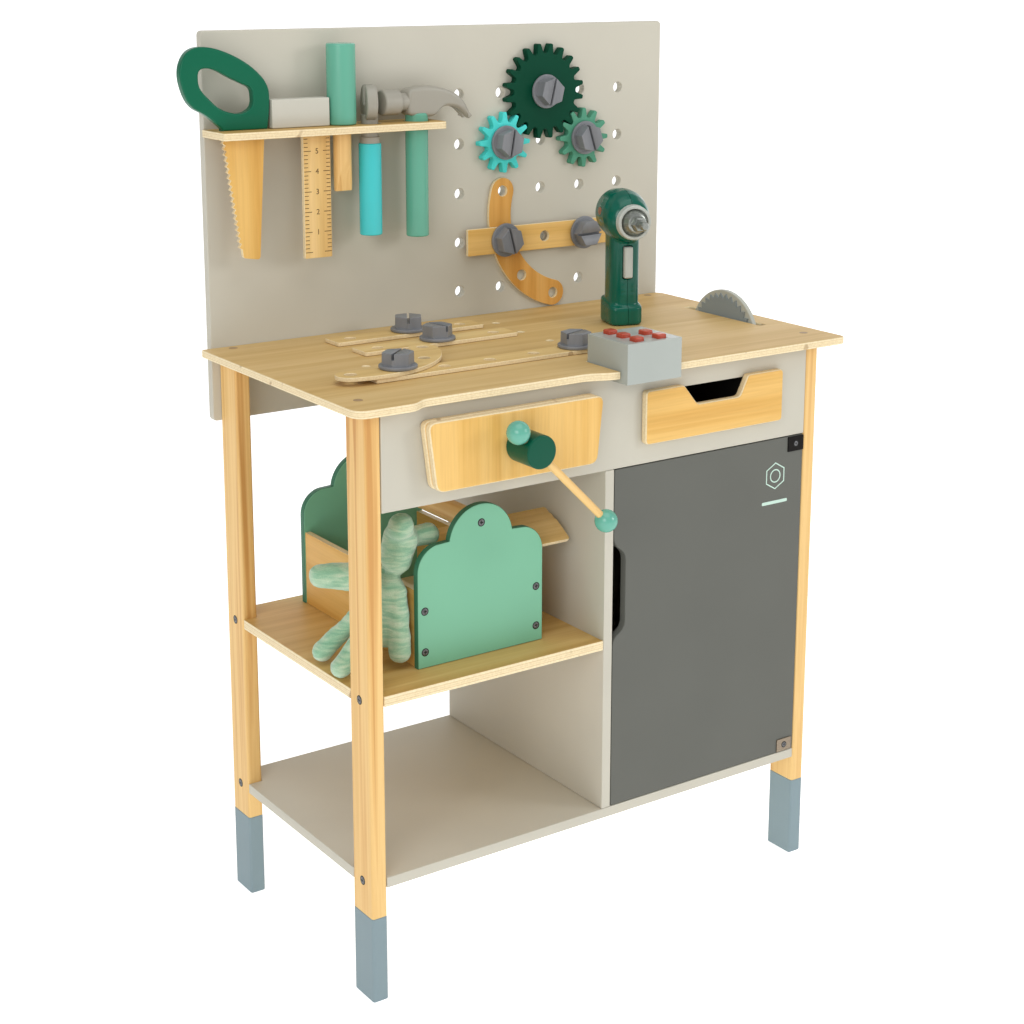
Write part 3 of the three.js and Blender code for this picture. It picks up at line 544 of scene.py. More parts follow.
def screw(name, centre, facing, body, radius=3.6, sign=-1):
    """Countersunk screw head with a cross recess, nearly flush; sign is the way it looks along its axis."""
    profile = [(0, 0.5), (radius * 0.7, 0.5), (radius, 0.2), (radius, -0.6), (0, -0.6)]
    head = lathe([(r, sign * a) for r, a in profile], facing, centre, 24)
    thing = piece(name, head, metal("screw", (120, 120, 122), 0.38), body)
    cuts = []
    index = AXES.index(facing)
    for turn in (0, 1):
        reach = [radius * 0.62, radius * 0.62, radius * 0.62]
        reach[(index + 1 + turn) % 3] = radius * 0.13
        reach[index] = 0.55
        cuts.append(slab(*[(c - r, c + r) for c, r in zip(centre, reach)], edge=0.02, rounds=1))
    # the thin near-black disc round the head is painted shade, standing in for the shade in the countersink
    rim = lathe([(r, sign * a) for r, a in ((0, 0.12), (radius + 1, 0.12), (radius + 1, -0.3), (0, -0.3))],
                facing, centre, 24)
    piece(f"{name}_rim", rim, paint("rim", (44, 46, 44), 0.6, 0.1), body)
    return carve(thing, *cuts)


# ---------------------------------------------------------------- frame and panels
def make_legs():
    for side in ("front_left", "front_right", "rear_left", "rear_right"):
        x, y, z = span(f"leg_{side}")
        body = flat(rectangle(x, y, 3), [], "Z", FOOT_Z, z[1] - FOOT_Z, 0.4, 1)
        piece(f"leg_{side}_pine", body, pine("Z"), "root", f"leg_{side}")
        grown = [(low - 0.15, high + 0.15) for low, high in (x, y)]
        foot = flat(rectangle(*grown, 3), [], "Z", 0, FOOT_Z, 1.0)
        piece(f"foot_{side}", foot, paint("foot", (132, 150, 156), 0.5, 0.2), "root")
        left = "left" in side
        heights = (123, 309) if left else (123,)
        for i, height in enumerate(heights):
            centre = (x[0] if left else x[1], (y[0] + y[1]) / 2, height)
            screw(f"leg_{side}_screw_{i + 1}", centre, "X", "root", sign=-1 if left else 1)


def make_panels():
    for node in ("bottom_shelf", "divider_panel", "right_side_panel", "cupboard_back", "cupboard_ceiling",
                 "front_apron"):
        soften(node, grey(), "root", 0.7)
    soften("middle_shelf", board_ply("middle_shelf", "Z", "X", "shelf"), "root", 0.8)


def make_worktop():
    x, y, z = span("worktop")
    box = span("control_box")
    notch = (box[0][0] - 2, box[0][1] + 0.5)
    back = box[1][1] + 0.5
    front = y[0]
    recess = front + 10
    ring = outline([(x[0], front, 16), (-237, front, 8), (-225, recess, 8), (-37, recess, 8), (-13, front, 8),
                    (notch[0], front), (notch[0], back), (notch[1], back), (notch[1], front),
                    (x[1], front, 8), (x[1], y[1], 12), (x[0], y[1], 3)])
    holes = [circle(*spot, HOLE_R) for spot in TABLE_BOLTS.values()]
    holes += [circle(*spot, 4, 20) for spot in TABLE_HOLES]
    slot_x = (BLADE_X[0] - 1.2, BLADE_X[1] + 1.2)
    holes.append(rectangle(slot_x, (75, 206), 2))
    board = flat(ring, holes, "Z", z[0], z[1] - z[0], 1.2)
    piece("worktop_board", board, board_ply("worktop", "Z", "X", "pale"), "root", "worktop")
    for i, spot in enumerate([(-276, 18), (-269, 289), (275, 18), (275, 289)]):
        cap = rod(4.6, "Z", (*spot, z[1]), -0.5, 0.25, 0.2, 24)
        piece(f"worktop_cap_{i + 1}", cap, plastic("cap", (170, 140, 104), 0.5), "root")


def make_peg_board():
    x, y, z = span("peg_board")
    holes = [circle(*peg(column, row), HOLE_R, 28) for row in range(PEG_ROWS) for column in range(PEG_ROWS)]
    board = flat(rectangle(x, z, 5), holes, "Y", y[0], y[1] - y[0], 1.0)
    piece("peg_board_panel", board, grey(), "root", "peg_board")


def make_tool_rack():
    x, y, z = span("tool_rack")
    ring = outline([(x[0], y[0], 4), (x[1], y[0], 4), (x[1], y[1]), (x[0], y[1])])
    slot = (TOOL_Y - 3.6, TOOL_Y + 3.6)
    holes = [rectangle((-284, -231), slot, 1.5), rectangle((-194.5, -157.5), slot, 1.5),
             circle(DRIVER_X, TOOL_Y, 10.2), circle(WRENCH_X, TOOL_Y, 12.8), circle(HAMMER_X, TOOL_Y, 13.6)]
    board = flat(ring, holes, "Z", z[0], z[1] - z[0], 0.8)
    piece("rack_shelf", board, board_ply("tool_rack", "Z", "X", "shelf"), "root", "tool_rack")


# ---------------------------------------------------------------- door and drawer
def make_door():
    x, y, z = span("door")
    deep = x[0] + 15.5
    ring = outline([(x[0], z[0], 1.5), (x[1], z[0], 1.5), (x[1], z[1], 1.5), (x[0], z[1], 1.5),
                    (x[0], 414.6, 8), (deep, 402.6, 8), (deep, 322.7, 8), (x[0], 312.7, 8)])
    panel = flat(ring, [], "Y", y[0], y[1] - y[0], 0.8)
    grey_paint = paint("dark_grey", (100, 101, 95), 0.5, 0.15)
    piece("door_panel", panel, grey_paint, "door", "door")
    plates = {"top": ((x[1] - 22, x[1]), (z[1] - 17, z[1] - 0.5), (30, 28, 26), 0.5),
              "bottom": ((x[1] - 24, x[1] - 3), (z[0] + 0.5, z[0] + 15), (150, 136, 118), 0.35)}
    for name, (across, up, rgb, roughness) in plates.items():
        plate = slab(across, (y[0] - 1.2, y[0] + 0.4), up, 0.4)
        piece(f"hinge_plate_{name}", plate, metal(f"hinge_{name}", rgb, roughness), "door")
        middle = ((across[0] + across[1]) / 2, y[0] - 1.2, (up[0] + up[1]) / 2)
        screw(f"hinge_screw_{name}", middle, "Y", "door", 2.6)
    make_emblem(y[0])


def make_emblem(y):
    """A plain hexagonal nut over a short bar, in thin pale lines."""
    middle = (224, 452)
    outer_r, inner_r = 15, 13.6
    ink = paint("ink", (196, 222, 208), 0.5, 0.1)
    corners = [math.pi / 6 + i * math.pi / 3 for i in range(6)]
    hexagon = [Vector((middle[0] + outer_r * math.cos(a), middle[1] + outer_r * math.sin(a)))
               for a in corners]
    inner = [(point - Vector(middle)) * (inner_r / outer_r) + Vector(middle) for point in hexagon]
    line = 0.05
    nut = flat(hexagon, [inner], "Y", y - 0.2, 0.3, line, 0)
    bore = flat(circle(*middle, 7.5), [circle(*middle, 6.2)], "Y", y - 0.2, 0.3, line, 0)
    bar = flat(rectangle((middle[0] - 18, middle[0] + 18), (421, 424.5), 1.5), [], "Y", y - 0.2, 0.3, line, 0)
    piece("door_emblem", merged(nut, bore, bar), ink, "door")


def make_drawer():
    x, y, z = span("drawer_front")
    ring = outline([(x[0], z[0], 5), (x[1], z[0], 5), (x[1], z[1], 5), (174, z[1], 3), (163, 549.5, 4),
                    (106, 549.5, 4), (88, z[1], 3), (x[0], z[1], 5)])
    front = flat(ring, [], "Y", y[0], y[1] - y[0], 2.4, 3)
    ply = board_ply("drawer_front", "Y", "X", "honey")
    piece("drawer_face", front, ply, "drawer", "drawer_front")
    # the drawer tray is painted near black as painted shade: it stands in for the shade inside the drawer bay
    soften("drawer_tray", paint("tray", (52, 48, 44), 0.7, 0.1), "drawer", 0.6)


# ---------------------------------------------------------------- vise
SCREW_X = -122
SCREW_Z = 543.5


def make_vise():
    for node, body in (("vise_fixed_jaw", "root"), ("vise_moving_jaw", "vise_jaw")):
        y = span(node)[1]
        ring = outline([(-214, 509.5, 9), (-28.5, 509.5, 9), (-21, 577.5, 9), (-223, 577.5, 9)])
        jaw = flat(ring, [circle(SCREW_X, SCREW_Z, 7.7)], "Y", y[0], y[1] - y[0], 2.6, 3)
        piece(f"{node}_board", jaw, board_ply(node, "Y", "Z", "honey"), body, node)
    hub_y = (-56, -19.2)
    green = paint("dark_green", (0, 80, 58), 0.3, 0.2)
    axis = (SCREW_X, 0, SCREW_Z)
    hub = piece("vise_hub", rod(16.5, "Y", axis, *hub_y, 1.6, 48), green, "vise_screw",
                "vise_screw")
    along = Vector((-1, 0, 1)).normalized()
    handle_at = Vector((SCREW_X, -45, SCREW_Z))
    lean = Vector((0, 0, 1)).rotation_difference(along).to_matrix().to_4x4()
    place = Matrix.Translation(handle_at) @ lean

    carve(hub, move(rod(4.3, "Z", (0, 0, 0), -25, 25, 0.5, 24), place))
    shank = rod(7, "Y", axis, hub_y[1] - 0.5, 46, 0.8, 32)
    piece("vise_shank", shank, pine("Y"), "vise_screw")
    piece("vise_handle_rod", rod(3.8, "Z", (0, 0, 0), -119, 27.8, 0.5, 24), pine("Z"), "vise_handle",
          "vise_handle", place=place)
    for name, end in (("upper", 27.8), ("lower", -119)):
        ball = bmesh.new()
        bmesh.ops.create_uvsphere(ball, u_segments=32, v_segments=20, radius=11.5)
        move(ball, Matrix.Translation(handle_at + along * end))
        glossy = paint("ball", (100, 172, 152), 0.15, 0.5)
        piece(f"vise_ball_{name}", ball, glossy, "vise_handle")


# ---------------------------------------------------------------- control box and circular saw
def make_control_box():
    soften("control_box", blue_grey(), "root", 1.0)
    red = plastic("button", (186, 72, 48), 0.22)
    for i in range(1, 6):
        x, y, z = span(f"button_{i}")
        middle = [(low + high) / 2 for low, high in (x, y)]
        cap_x, cap_y = ([c - 5.8, c + 5.8] for c in middle)
        cap = flat(rectangle(cap_x, cap_y, 3), [], "Z", z[0], z[1] - z[0], 1.4, 3)
        piece(f"button_{i}_cap", cap, red, f"button_{i}", f"button_{i}")


BLADE_X = (264, 271)
BLADE_R = 56
BLADE_AT = (139.6, 573.5)


def make_circular_saw():
    disc = lathe(rod_profile(BLADE_R, BLADE_X[0] + 1.6, BLADE_X[1], 1.2), "X", (0, *BLADE_AT), 96)
    piece("saw_disc", disc, paint("saw_rim", (186, 188, 178), 0.4, 0.3), "circular_saw",
          "circular_saw")
    teeth = 36
    ring = []
    for i in range(teeth):
        angle = 2 * math.pi * i / teeth
        for r, shift in ((BLADE_R - 9.5, 0), (BLADE_R - 3.5, 0.5)):
            turned = angle + shift * 2 * math.pi / teeth
            ring.append(Vector((BLADE_AT[0] + r * math.cos(turned), BLADE_AT[1] + r * math.sin(turned))))
    face = flat(ring, [], "X", BLADE_X[0], 1.7, 0.2, 1)
    piece("saw_teeth", face, paint("saw_face", (140, 150, 154), 0.4, 0.3), "circular_saw")
    hub = lathe(rod_profile(5, BLADE_X[1], 280.5, 0.4), "X", (0, *BLADE_AT), 24)
    piece("saw_axle", hub, pine("X"), "circular_saw")


# ---------------------------------------------------------------- hanging tools
RACK_TOP = span("tool_rack")[2][1]
DRIVER_X = -144.5
WRENCH_X = -111.5
HAMMER_X = -54


def make_hand_saw():
    ring = outline([(-282, RACK_TOP + GAP), (-282, 827, 4), (-298, 841, 10), (-318, 851, 16), (-328, 884, 22),
                    (-316, 908, 18), (-288, 908, 22), (-252, 892, 20), (-229, 870, 16), (-229, 846, 14),
                    (-232, RACK_TOP + GAP)], 8)
    grip = outline([(-306, 868, 8), (-306, 887, 8), (-290, 887, 10), (-270, 876, 8), (-248, 866, 6),
                    (-247, 847, 8), (-262, 840, 8), (-284, 846, 10)], 6)
    handle = flat(ring, [grip], "Y", TOOL_Y - 5, 10, 1.8, 2)
    piece("saw_handle", handle, paint("saw_green", (0, 96, 68), 0.3, 0.25), "hand_saw",
          "hand_saw")
    steps = 19
    teeth = []
    for i in range(steps + 1):
        share = i / steps
        teeth.append((-279 + 16 * share, 816 - 112 * share))
        if i < steps:
            teeth.append((-281.5 + 16 * share, 816 - 112 * (i + 0.6) / steps))
    blade = flat(outline([(-234, 832), (-279, 832), *teeth, (-262, 695, 3), (-243, 692, 4)]), [], "Y",
                 TOOL_Y - 2.5, 5, 0.5)
    ply = plywood("Y", ORIGIN.y + (TOOL_Y - 2.5) * MM, 5, "Z", "honey")
    piece("saw_blade", blade, ply, "hand_saw")


def make_set_square():
    stock = slab((-228, -162), (TOOL_Y - 7, TOOL_Y + 7), (RACK_TOP + GAP, 854), 1.4)
    piece("square_stock", stock, paint("stock", (198, 196, 184), 0.4, 0.3), "set_square",
          "set_square")
    x = (-191.5, -160)
    front = TOOL_Y - 2.5
    ruler = flat(rectangle(x, (688, RACK_TOP + 4), 1.5), [], "Y", front, 5, 0.5)
    ply = plywood("Y", ORIGIN.y + front * MM, 5, "Z", "cream")
    piece("square_ruler", ruler, ply, "set_square")
    marks = []
    pitch = 4.2
    for i in range(29):
        length = 8 if i % 5 == 0 else 4.5
        up = 694 + pitch * i
        for left in (x[0] + 0.7, x[1] - 0.7 - length):
            marks.append(slab((left, left + length), (front - 0.08, front + 0.1), (up, up + 0.7), 0.02, 1))
    for number in range(1, 6):
        marks.append(digit(number, ((x[0] + x[1]) / 2, front - 0.08, 694 + pitch * 5 * number)))
    piece("ruler_marks", merged(*marks), paint("mark", (90, 66, 44), 0.6, 0.1), "set_square")


def digit(number, centre):
    """A plain numeral on the ruler's face."""
    text = bpy.data.curves.new("digit", "FONT")
    text.body = str(number)
    text.size = 8
    text.align_x = "CENTER"
    text.align_y = "CENTER"
    text.extrude = 0.05
    holder = bpy.data.objects.new("digit", text)
    mesh = bpy.data.meshes.new_from_object(holder)
    bm = bmesh.new()
    bm.from_mesh(mesh)
    bpy.data.objects.remove(holder)
    bpy.data.meshes.remove(mesh)
    bmesh.ops.remove_doubles(bm, verts=bm.verts, dist=0.001)
    move(bm, Matrix.Translation(centre) @ TURN["Y"])
    return bm


def make_screwdriver():
    centre = (DRIVER_X, TOOL_Y, 0)
    handle = rod(15.2, "Z", centre, RACK_TOP + GAP, 908, 1.6, 48)
    piece("driver_handle", handle, mint(), "screwdriver", "screwdriver")
    levels = [756, 756.5] + [756 + 4 * i for i in range(1, 10)] + [RACK_TOP + 2]
    profile = [(0, levels[0]), (9, levels[0]), *[(9.5, level) for level in levels[1:]], (0, levels[-1])]
    tip = lathe(profile, "Z", centre, 40)
    for vertex in tip.verts:                                  # two flats run down to a blunt blade
        limit = 2.5 + max(0.0, vertex.co.z - 756) * 0.22
        vertex.co.y = TOOL_Y + max(-limit, min(limit, vertex.co.y - TOOL_Y))
    piece("driver_tip", tip, pine("Z"), "screwdriver")


def make_wrench():
    radius = 19.5
    slot = 6.5
    mouth = math.degrees(math.acos(slot / radius))
    middle = 846
    base = RACK_TOP + 0.4 - middle
    foot = math.degrees(math.asin(base / radius)) if abs(base) < radius else -90
    ring = arc(0, middle, radius, mouth, foot, 24) + arc(0, middle, radius, 180 - foot, 180 - mouth, 24)
    ring += [Vector((-slot, middle + 3)), Vector((-3, middle - 2)), Vector((3, middle - 2)),
             Vector((slot, middle + 3))]
    head = flat(ring, [], "Y", -6, 12, 2.2, 3)
    turn = Matrix.Translation((WRENCH_X, TOOL_Y, 0)) @ Matrix.Rotation(math.radians(72), 4, "Z")
    move(head, turn)
    centre = (WRENCH_X, TOOL_Y, 0)
    neck = rod(9, "Z", centre, 806, 834, 1, 32)
    collar = rod(10.6, "Z", centre, 803, 811, 1.2, 40)
    piece("wrench_head", merged(head, neck, collar), stone(), "wrench", "wrench")
    handle = rod(12, "Z", centre, 707, 804, 1.6, 40)
    piece("wrench_handle", handle, paint("cyan", (66, 200, 204), 0.2, 0.5), "wrench")


def make_hammer():
    middle = (0, TOOL_Y, 845)
    face = rod(13.5, "X", middle, -98, -77, 2.2, 48)
    neck = rod(9.5, "X", middle, -79, -60, 1, 40)
    ring = outline([(-69, 831, 5), (-36, 828, 8), (-25, 840, 14), (-6, 838, 12), (8, 824, 1.5),
                    (9.5, 829, 2), (0, 846, 14), (-18, 857, 16), (-46, 862.5, 12), (-69, 858, 6)], 8)
    claw = flat(ring, [], "Y", TOOL_Y - 10.5, 21, 4, 4)
    head = piece("hammer_claw", claw, stone(), "hammer", "hammer")
    carve(head, slab((-22, 14), (TOOL_Y - 2.2, TOOL_Y + 2.2), (815, 856), 0.5, 1))
    piece("hammer_face", merged(face, neck), stone(), "hammer")
    handle = rod(12.2, "Z", (HAMMER_X, TOOL_Y, 0), 701, 833, 1.6, 40)
    piece("hammer_handle", handle, mint(), "hammer")


# ---------------------------------------------------------------- strips, gears and bolts
TABLE_BOLTS = {"bolt_table_a": (-84, 247), "bolt_table_b": (-83, 190), "bolt_table_c": (15, 79),
               "bolt_table_d": (-197, 79)}
TABLE_HOLES = [(25, 139), (25, 193), (30, 249), (-198, 139), (-128, 210)]


def on_curve(centre, angle):
    """The point of a curved strip's hole circle at this angle."""
    a = math.radians(angle)
    return centre[0] + ARC_R * math.cos(a), centre[1] + ARC_R * math.sin(a)


def curved_ring(angles, centre):
    """Outline and holes of a curved strip whose holes lie on ARC_R at these angles."""
    half = STRIP_W / 2
    first, last = angles[0], angles[-1]
    ring = arc(*centre, ARC_R + half, first, last, 24)
    ring += arc(*on_curve(centre, last), half, last, last + 180, 12)[1:]
    ring += arc(*centre, ARC_R - half, last, first, 24)[1:]
    ring += arc(*on_curve(centre, first), half, first + 180, first + 360, 12)[1:-1]
    return ring, [circle(*on_curve(centre, angle), HOLE_R) for angle in angles]


def curve_centre(bolt, angle):
    """The centre of a curved strip whose hole at this angle is on the bolt."""
    a = math.radians(angle)
    return bolt[0] - ARC_R * math.cos(a), bolt[1] - ARC_R * math.sin(a)


def strip(node, ring, holes, facing, along, tone):
    """A plywood strip lying on the worktop or on the peg board."""
    start = span(node)[AXES.index(facing)][0]
    board = flat(ring, holes, facing, start, STRIP_T, 0.7)
    ply = plywood(facing, ORIGIN[AXES.index(facing)] + start * MM, STRIP_T, along, tone)
    piece(f"{node}_board", board, ply, "root", node)


def make_strips():
    table = {"table_strip_a": ("bolt_table_a", [22, 93, 158]),
             "table_strip_b": ("bolt_table_b", [22, 94, 164]),
             "table_strip_c": ("bolt_table_d", [32, 85, 138, 191, 244])}
    for node, (bolt, spots) in table.items():
        x, y, _ = span(node)
        holes = [circle(x[0] + spot, TABLE_BOLTS[bolt][1], HOLE_R) for spot in spots]
        strip(node, rectangle(x, y, 2.5), holes, "Z", "X", "strip")
    angles = [-106.4, -75.8, -45.2, -14.6]
    ring, holes = curved_ring(angles, curve_centre(TABLE_BOLTS["bolt_table_d"], angles[1]))
    strip("table_strip_curved", ring, holes, "Z", "X", "strip")

    angles = [163.8, 196.2, 226, 255.7]
    ring, holes = curved_ring(angles, curve_centre(peg(1, 3), angles[1]))
    strip("board_strip_curved", ring, holes, "Y", "Z", "orange")
    x, _, z = span("board_strip_straight")
    middle = (z[0] + z[1]) / 2
    holes = [circle(peg(column, 3)[0], middle, HOLE_R) for column in (1, 2, 3)]
    strip("board_strip_straight", rectangle(x, z, 1.5), holes, "Y", "X", "honey")


def gear_ring(teeth, centre, turn):
    """Trapezoid teeth with rounded tips and roots."""
    pitch_r = PEG_PITCH * math.sqrt(2) / 16 * teeth / 2
    root_r = pitch_r - 6
    tip_r = pitch_r + 4.9
    step = 360 / teeth
    points = []
    for i in range(teeth):
        middle = turn + i * step
        for r, share, radius in ((root_r, -0.33, 2), (tip_r, -0.13, 1.6),
                                 (tip_r, 0.13, 1.6), (root_r, 0.33, 2)):
            angle = math.radians(middle + share * step)
            points.append((centre[0] + r * math.cos(angle), centre[1] + r * math.sin(angle), radius))
    return outline(points, 3)


def make_gears():
    y = span("gear_large")[1]
    gears = {
        "gear_large": (20, (2, 0), 225, ("gear_green", (0, 64, 44), 0.45, 0.1), "dark_green_paint"),
        "gear_left": (12, (1, 1), 60, ("gear_cyan", (74, 210, 204), 0.4, 0.25), "cyan_paint"),
        "gear_right": (12, (3, 1), 150, ("gear_mint", (78, 146, 118), 0.45, 0.25), "mint_paint"),
    }
    for node, (teeth, place, turn, colour, slot) in gears.items():
        centre = peg(*place)
        bore = circle(*centre, HOLE_R)
        wheel = flat(gear_ring(teeth, centre, turn), [bore], "Y", y[0], y[1] - y[0], 0.7, 1)
        piece(f"{node}_wheel", wheel, paint(*colour), node, node)


FLANGE_T = 3.5
HEX_H = 12.5
HEX_R = 16.2


def bolt(name, place, length, turn):
    """Toy bolt along its own +Z with the underside of its flange at 0."""
    head = lathe([(HEX_R, FLANGE_T - 1), (HEX_R - 0.3, FLANGE_T + HEX_H)], "Z", (0, 0, 0), 6)
    bmesh.ops.holes_fill(head, edges=head.edges[:])
    hard = [e for e in head.edges if e.is_manifold and e.calc_face_angle() > math.radians(30)]
    bmesh.ops.bevel(head, geom=hard, offset=0.7, segments=2, profile=0.5, affect="EDGES")
    cutter = slab((-HEX_R - 2, HEX_R + 2), (-1.4, 1.4), (FLANGE_T + HEX_H - 6, FLANGE_T + HEX_H + 1), 0.02, 1)
    flange = rod(19, "Z", (0, 0, 0), 0, FLANGE_T, 1.1, 56)
    shaft = rod(5, "Z", (0, 0, 0), -length, 0.5, 0.8, 24)
    grey_plastic = plastic("bolt", (128, 130, 134), 0.4)
    whole = place @ Matrix.Rotation(math.radians(turn), 4, "Z")
    for part in (head, cutter, flange, shaft):
        move(part, whole)
    hexagon = piece(f"{name}_head", head, grey_plastic, name, name)
    carve(hexagon, cutter)
    piece(f"{name}_flange", merged(flange, shaft), grey_plastic, name)


def make_bolts():
    board = {"bolt_gear_large": ((2, 0), 76),
             "bolt_gear_left": ((1, 1), 80),
             "bolt_gear_right": ((3, 1), 108),
             "bolt_strip_left": ((1, 3), 105),
             "bolt_strip_right": ((3, 3), 2)}
    for name, (spot, turn) in board.items():
        x, z = peg(*spot)
        low, high = span(name)[1]
        y = low + FLANGE_T + HEX_H
        place = Matrix.Translation((x, y, z)) @ Matrix.Rotation(math.pi / 2, 4, "X")
        bolt(name, place, high - y, turn)
    for name, turn in zip(TABLE_BOLTS, (60, 100, 20, 40)):
        low, high = span(name)[2]
        z = high - FLANGE_T - HEX_H
        bolt(name, Matrix.Translation((*TABLE_BOLTS[name], z)), z - low, turn)


# ---------------------------------------------------------------- drill
DRILL_X = 146
DRILL_Y = 173
BARREL_Z = 716


def melted(name, parts, voxel, rounds):
    """Overlapping solids fused into one smooth skin, as a bmesh in bench mm."""
    mesh = bpy.data.meshes.new(name)
    whole = merged(*parts)
    whole.to_mesh(mesh)
    whole.free()
    thing = linked(name, mesh)
    remesh = thing.modifiers.new("remesh", "REMESH")
    remesh.mode = "VOXEL"
    remesh.voxel_size = voxel
    smooth = thing.modifiers.new("smooth", "SMOOTH")
    smooth.iterations = rounds
    smooth.factor = 0.5
    bpy.context.view_layer.update()
    bake(thing)
    bm = bmesh.new()
    bm.from_mesh(thing.data)
    bpy.data.objects.remove(thing)
    return bm


def drill_skin():
    """Barrel, grip and foot of the drill fused into one skin."""
    half = [(0, -30), (10, -29.6), (17, -28), (21.5, -24.5), (24.5, -17), (26, -4), (26, 8), (24.5, 17),
            (21, 25), (17, 28), (0, 28)]
    barrel = lathe([(r, -along) for r, along in reversed(half)], "Y", (0, 0, 0), 48)
    shape = Matrix.Translation((DRILL_X, DRILL_Y, BARREL_Z)) @ Matrix.Diagonal((0.9, 1, 1.08, 1))
    move(barrel, shape)
    for vertex in barrel.verts:                               # the back of the barrel stands higher
        vertex.co.z += 5 * min(1, max(0, (vertex.co.y - DRILL_Y + 28) / 24))

    def grip(half_x, half_y, low, height, radius):
        x, y = (DRILL_X - half_x, DRILL_X + half_x), (DRILL_Y - half_y, DRILL_Y + half_y)
        return flat(rectangle(x, y, radius), [], "Z", low, height, 3, 3)

    def bar(radius, y, z, reach, edge, sides):
        return rod(radius, "X", (0, DRILL_Y + y, z), DRILL_X - reach, DRILL_X + reach, edge, sides)
    scallops = [bar(5.5, 14.6, 646 + 14 * i, 9, 3, 24) for i in range(4)]
    ribs = [bar(1.6, -15.4, 634 + 5 * i, 7, 0.6, 12) for i in range(3)]
    base = grip(16.8, 21, 600.3, 20, 10)
    for vertex in base.verts:                                 # the foot is higher at the heel
        if vertex.co.z > 612:
            vertex.co.z += 5 + 0.22 * (vertex.co.y - DRILL_Y)
    skin = melted("drill_skin", [barrel, grip(14.8, 16.8, 612, 90, 12), *scallops, *ribs, base], 1.1, 10)
    for vertex in skin.verts:                                 # fuller sides and back
        vertex.co.x = DRILL_X + 1.12 * (vertex.co.x - DRILL_X)
        vertex.co.y += 0.12 * max(0, vertex.co.y - DRILL_Y)
    return skin


def make_drill():
    green = plastic("drill", (0, 94, 76), 0.16)
    turn = Matrix.Rotation(math.radians(DRILL_TURN), 4, "Z")
    centre = Matrix.Translation((DRILL_X, DRILL_Y, 0))
    turned = BENCH @ centre @ turn @ centre.inverted()
    skin = drill_skin()
    for side, sign in (("left", -1), ("right", 1)):
        half = skin.copy()
        cut = bmesh.ops.bisect_plane(half, geom=half.verts[:] + half.edges[:] + half.faces[:],
                                     plane_co=(DRILL_X + 0.25 * sign, 0, 0), plane_no=(-sign, 0, 0),
                                     clear_outer=True)
        rim = [e for e in cut["geom_cut"] if isinstance(e, bmesh.types.BMEdge)]
        bmesh.ops.holes_fill(half, edges=rim)
        nodes = "drill_body" if side == "left" else ()
        shell = piece(f"drill_shell_{side}", half, green, "drill", nodes, to_frame=turned)
        recess = slab((DRILL_X - 5.6, DRILL_X + 5.6), (DRILL_Y - 24, DRILL_Y - 9), (651.5, 688.5), 1.5)
        bore = rod(6.5, "Y", (DRILL_X, 0, BARREL_Z), DRILL_Y - 34, DRILL_Y - 14, 0.3, 32)
        carve(shell, recess, bore, to_frame=turned)
    skin.free()
    # the dark core shows through the shell seam and the trigger recess as painted shade inside them
    core = rod(9, "Z", (DRILL_X, DRILL_Y, 0), 606, 700, 1, 24)
    inner = plastic("drill_core_shade", (0, 40, 32), 0.5)
    piece("drill_core", core, inner, "drill", to_frame=turned)

    pale = plastic("drill_pale", (190, 194, 186), 0.25)
    pad = slab((DRILL_X - 5, DRILL_X + 5), (DRILL_Y - 20.8, DRILL_Y - 12.5), (652.6, 687.4), 2, 3)
    piece("drill_trigger_pad", pad, pale, "drill_trigger", "drill_trigger", to_frame=turned)

    front = DRILL_Y - 28 - GAP
    axis = (DRILL_X, 0, BARREL_Z)
    collar = lathe([(0, front), (18.6, front), (19.4, front - 1), (18.8, front - 7.2), (17.8, front - 8),
                    (15.6, front - 8), (15.2, front - 5), (0, front - 5)], "Y", axis, 64)
    stub = rod(5.6, "Y", axis, front - 1, front + 12, 0.5, 24)
    silver = metal("chuck", (168, 172, 166), 0.3)
    cone = lathe([(0, front - 16), (8, front - 16), (10.4, front - 15), (14.8, front - 5.5),
                  (14.8, front - 4), (0, front - 4)], "Y", axis, 48)
    nut = lathe([(0, front - 25), (7.2, front - 25), (8.6, front - 23.6), (8.6, front - 14),
                 (0, front - 14)], "Y", axis, 6)
    bit = lathe([(0, front - 38), (3.4, front - 38), (4.6, front - 36), (4.6, front - 30), (3, front - 28),
                 (3, front - 22), (0, front - 22)], "Y", axis, 24)
    ring = merged(collar, stub)
    piece("chuck_ring", ring, pale, "drill_chuck", "drill_chuck", to_frame=turned)
    piece("chuck_cone", cone, silver, "drill_chuck", to_frame=turned)
    piece("chuck_nut", merged(nut, bit), silver, "drill_chuck", sharp=25, to_frame=turned)
    badge = rod(4.4, "X", (DRILL_X - 25.6, DRILL_Y + 3, BARREL_Z + 9), -0.6, 0.6, 0.4, 32)
    piece("drill_badge", badge, plastic("badge", (150, 96, 70), 0.35), "drill", to_frame=turned)


# ---------------------------------------------------------------- tool box
def toolbox_ring(x, z):
    """A box end with two shoulders and a round top."""
    middle = (x[0] + x[1]) / 2
    right = [Vector((x[1], z[0])), Vector((x[1], 412))]
    right += arc(x[1] - 27, 412, 27, 0, 78, 10)[1:]
    right += arc(middle, 434, 37.5, 8, 90, 14)
    left = [Vector((2 * middle - p.x, p.y)) for p in reversed(right[:-1])]
    return right + left


